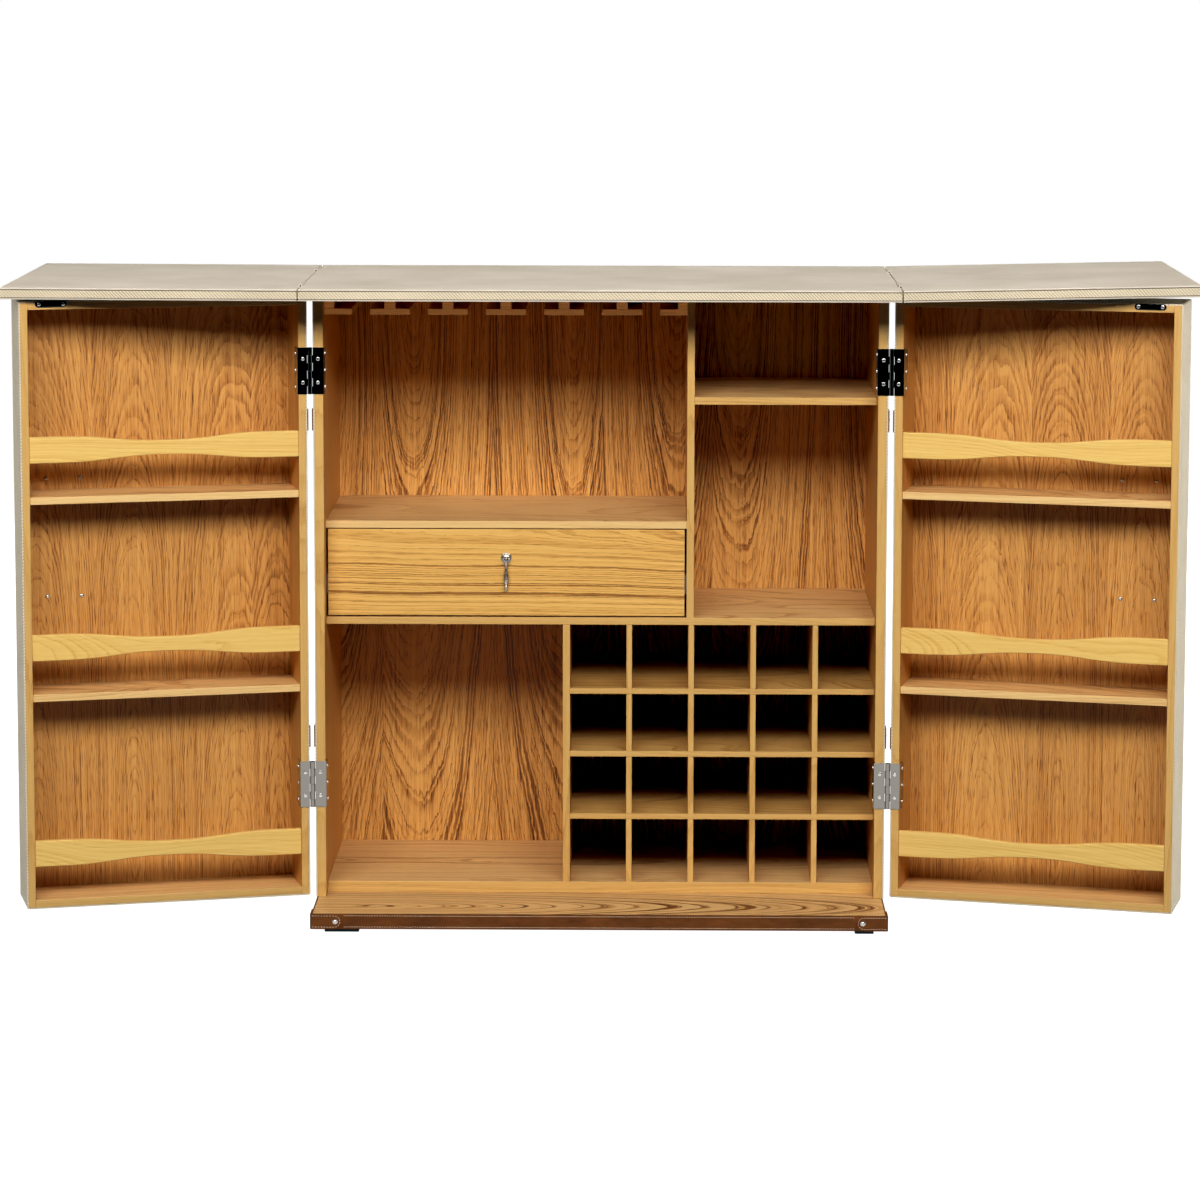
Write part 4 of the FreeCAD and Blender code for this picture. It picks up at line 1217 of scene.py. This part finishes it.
# carrying handles: bowed strap with rounded edges and two rows of stitches
handleLook = dict(
    strap=6.0, foot=44.0, steps=64, long=50.0, ease=1.8, easeSteps=3, easeFrom=50, rowInset=4.5,
    rowPitch=5.6, rowEnd=1.0, rowSteps=80,
)
for door in doors:
    low, high = solidBoxes(door + "_handle")[0]
    strap = handleLook["strap"] * mm
    bow = high.y - low.y - strap
    middle = (low.z + high.z) / 2
    free = (high.z - low.z) / 2 - handleLook["foot"] * mm

    def bowAt(z):
        return bow * easeBetween(free - abs(z - middle), 0.0, free) if abs(z - middle) < free else 0.0

    piece = addBlock("Handle_" + door, (low.x, high.y - strap, low.z), high)
    pickEdges(piece, lambda a, b: abs(a.z - b.z) > handleLook["long"] * mm)
    bpy.ops.mesh.subdivide(number_cuts=handleLook["steps"] - 1)
    objectMode()
    for vertex in piece.data.vertices:
        vertex.co.y -= bowAt(vertex.co.z)
    soften(piece, handleLook)
    rowLow = low.z + handleLook["rowEnd"] * mm
    rowStep = (high.z - low.z - 2 * handleLook["rowEnd"] * mm) / handleLook["rowSteps"]
    levels = [rowLow + rowStep * i for i in range(handleLook["rowSteps"] + 1)]
    spots = []
    for x in (low.x + handleLook["rowInset"] * mm, high.x - handleLook["rowInset"] * mm):
        run = [Vector((x, high.y - strap - bowAt(z), z)) for z in levels]
        spots += rowSpots(run, -yWay, handleLook["rowPitch"] * mm)
    sewing = copyTo("Handle_stitches_" + door, stitch, spots)
    toRest(piece, door)
    toRest(sewing, door)
    fit(piece, door + "_handle", leather)
    fit(sewing, door + "_handle", paleThread, inPlace=False)
for model in (stitch, screw, rivet, boltHead):
    removePiece(model)
print("handles bowed")

# pale floor that throws no light of its own on the piece
white = (1.0, 1.0, 1.0, 1.0)
floorLook = dict(low=(-16.0, -3.0, -0.02), high=(16.0, 16.0, 0.0))
floorFinish = {
    "Base Color": (0.22, 0.22, 0.22, 1.0), "Roughness": 0.8,
    "Emission Color": white, "Emission Strength": 1.0,
}
floor = addBlock("Floor", floorLook["low"], floorLook["high"])
floorMaterial, floorTree, floorShader = newMaterial("Pale_floor")
for socket, value in floorFinish.items():
    feed(floorTree, floorShader.inputs[socket], value)
floor.visible_diffuse = False
dress(floor, floorMaterial)

# soft studio light, in metres and watts, aimed at the middle of the chest unless a lamp says otherwise
chestMiddle = (0.0, 0.0, 0.55)
lightLook = {
    "Key": dict(at=(0.0, -3.7, 2.78), size=(6.0, 1.15), power=262.0),
    "Over": dict(at=(0.0, 0.2, 4.2), size=(3.6, 2.0), power=66.0),
    "Left": dict(at=(-4.2, 0.9, 1.2), size=(2.0, 1.6), power=44.0),
    "Right": dict(at=(4.2, 0.9, 1.2), size=(2.0, 1.6), power=92.0),
    "Back": dict(at=(0.0, 4.4, 1.5), size=(3.6, 2.2), power=150.0, sheen=False),
    "Low": dict(at=(-0.15, -1.2, 0.5), aim=(-0.15, -0.1, 0.97), size=(0.8, 0.4), power=4.2, sheen=False),
}
for name, look in lightLook.items():
    deselect()
    bpy.ops.object.light_add(type="AREA", location=look["at"])
    lamp = justAdded(name)
    lamp.data.shape = "RECTANGLE"
    lamp.data.size, lamp.data.size_y = look["size"]
    lamp.data.energy = look["power"]
    lamp.visible_glossy = look.get("sheen", True)  # no sheen on the counter or the metal
    way = Vector(look.get("aim", chestMiddle)) - lamp.location
    lamp.rotation_euler = way.to_track_quat("-Z", "Y").to_euler()

# the low lamp only lifts the stemware rails out of the counter's shadow
railGroup = bpy.data.collections.new("Rails_in_shadow")
railGroup.objects.link(bpy.data.objects["Eased_glass_rails"])
lowLamp = bpy.data.objects["Low"]
lowLamp.light_linking.receiver_collection = railGroup
lowLamp.visible_camera = False

# faint sky to light by, and a white backdrop that only the camera sees
skyLook = dict(tones=[(0.0, 0.006), (0.49, 0.006), (0.53, 0.012), (1.0, 0.06)], backdrop=1.0)
world = bpy.data.worlds.new("Studio")
bpy.context.scene.world = world
world.use_nodes = True
sky = world.node_tree
background = sky.nodes["Background"]
ray = addNode(sky, "ShaderNodeTexCoord")
rise = splitPoint(sky, ray.outputs["Generated"])[2]
riseShare = mathOf(sky, "MULTIPLY_ADD", rise, 0.5, 0.5)
feed(sky, background.inputs["Color"], rampOf(sky, riseShare, skyLook["tones"]))
backdrop = addNode(sky, "ShaderNodeBackground")
backdrop.inputs["Color"].default_value = white
backdrop.inputs["Strength"].default_value = skyLook["backdrop"]
path = addNode(sky, "ShaderNodeLightPath")
blend = addNode(sky, "ShaderNodeMixShader")
feed(sky, blend.inputs[0], path.outputs["Is Camera Ray"])
feed(sky, blend.inputs[1], background.outputs[0])
feed(sky, blend.inputs[2], backdrop.outputs[0])
feed(sky, sky.nodes["World Output"].inputs[0], blend.outputs[0])

# how the picture is developed
pictureLook = dict(gamma=0.85, black=(0.014, 0.007, 0.0035))
bpy.context.scene.view_settings.view_transform = "Standard"
picture = bpy.context.scene.view_settings
picture.gamma = pictureLook["gamma"]
picture.use_curve_mapping = True
picture.curve_mapping.black_level = pictureLook["black"]
picture.curve_mapping.update()

# camera where the photograph was taken from
cameraLook = dict(
    at=(0.07206, -6.82176, 1.56047), sensor=36.0, lens=126.289, shift=(0.0, -0.11), pitch=0.12286,
    yaw=-0.01087, roll=0.00168, far=500.0,
)
deselect()
bpy.ops.object.camera_add(location=cameraLook["at"])
camera = justAdded("Camera")
camera.data.sensor_width = cameraLook["sensor"]
camera.data.lens = cameraLook["lens"]
camera.data.shift_x, camera.data.shift_y = cameraLook["shift"]
camera.data.clip_end = cameraLook["far"]
aim = Euler((math.pi / 2 - cameraLook["pitch"], 0.0, -cameraLook["yaw"])).to_matrix()
camera.rotation_euler = (aim @ Matrix.Rotation(cameraLook["roll"], 3, "Z")).to_euler()
bpy.context.scene.camera = camera
print("camera and light set")
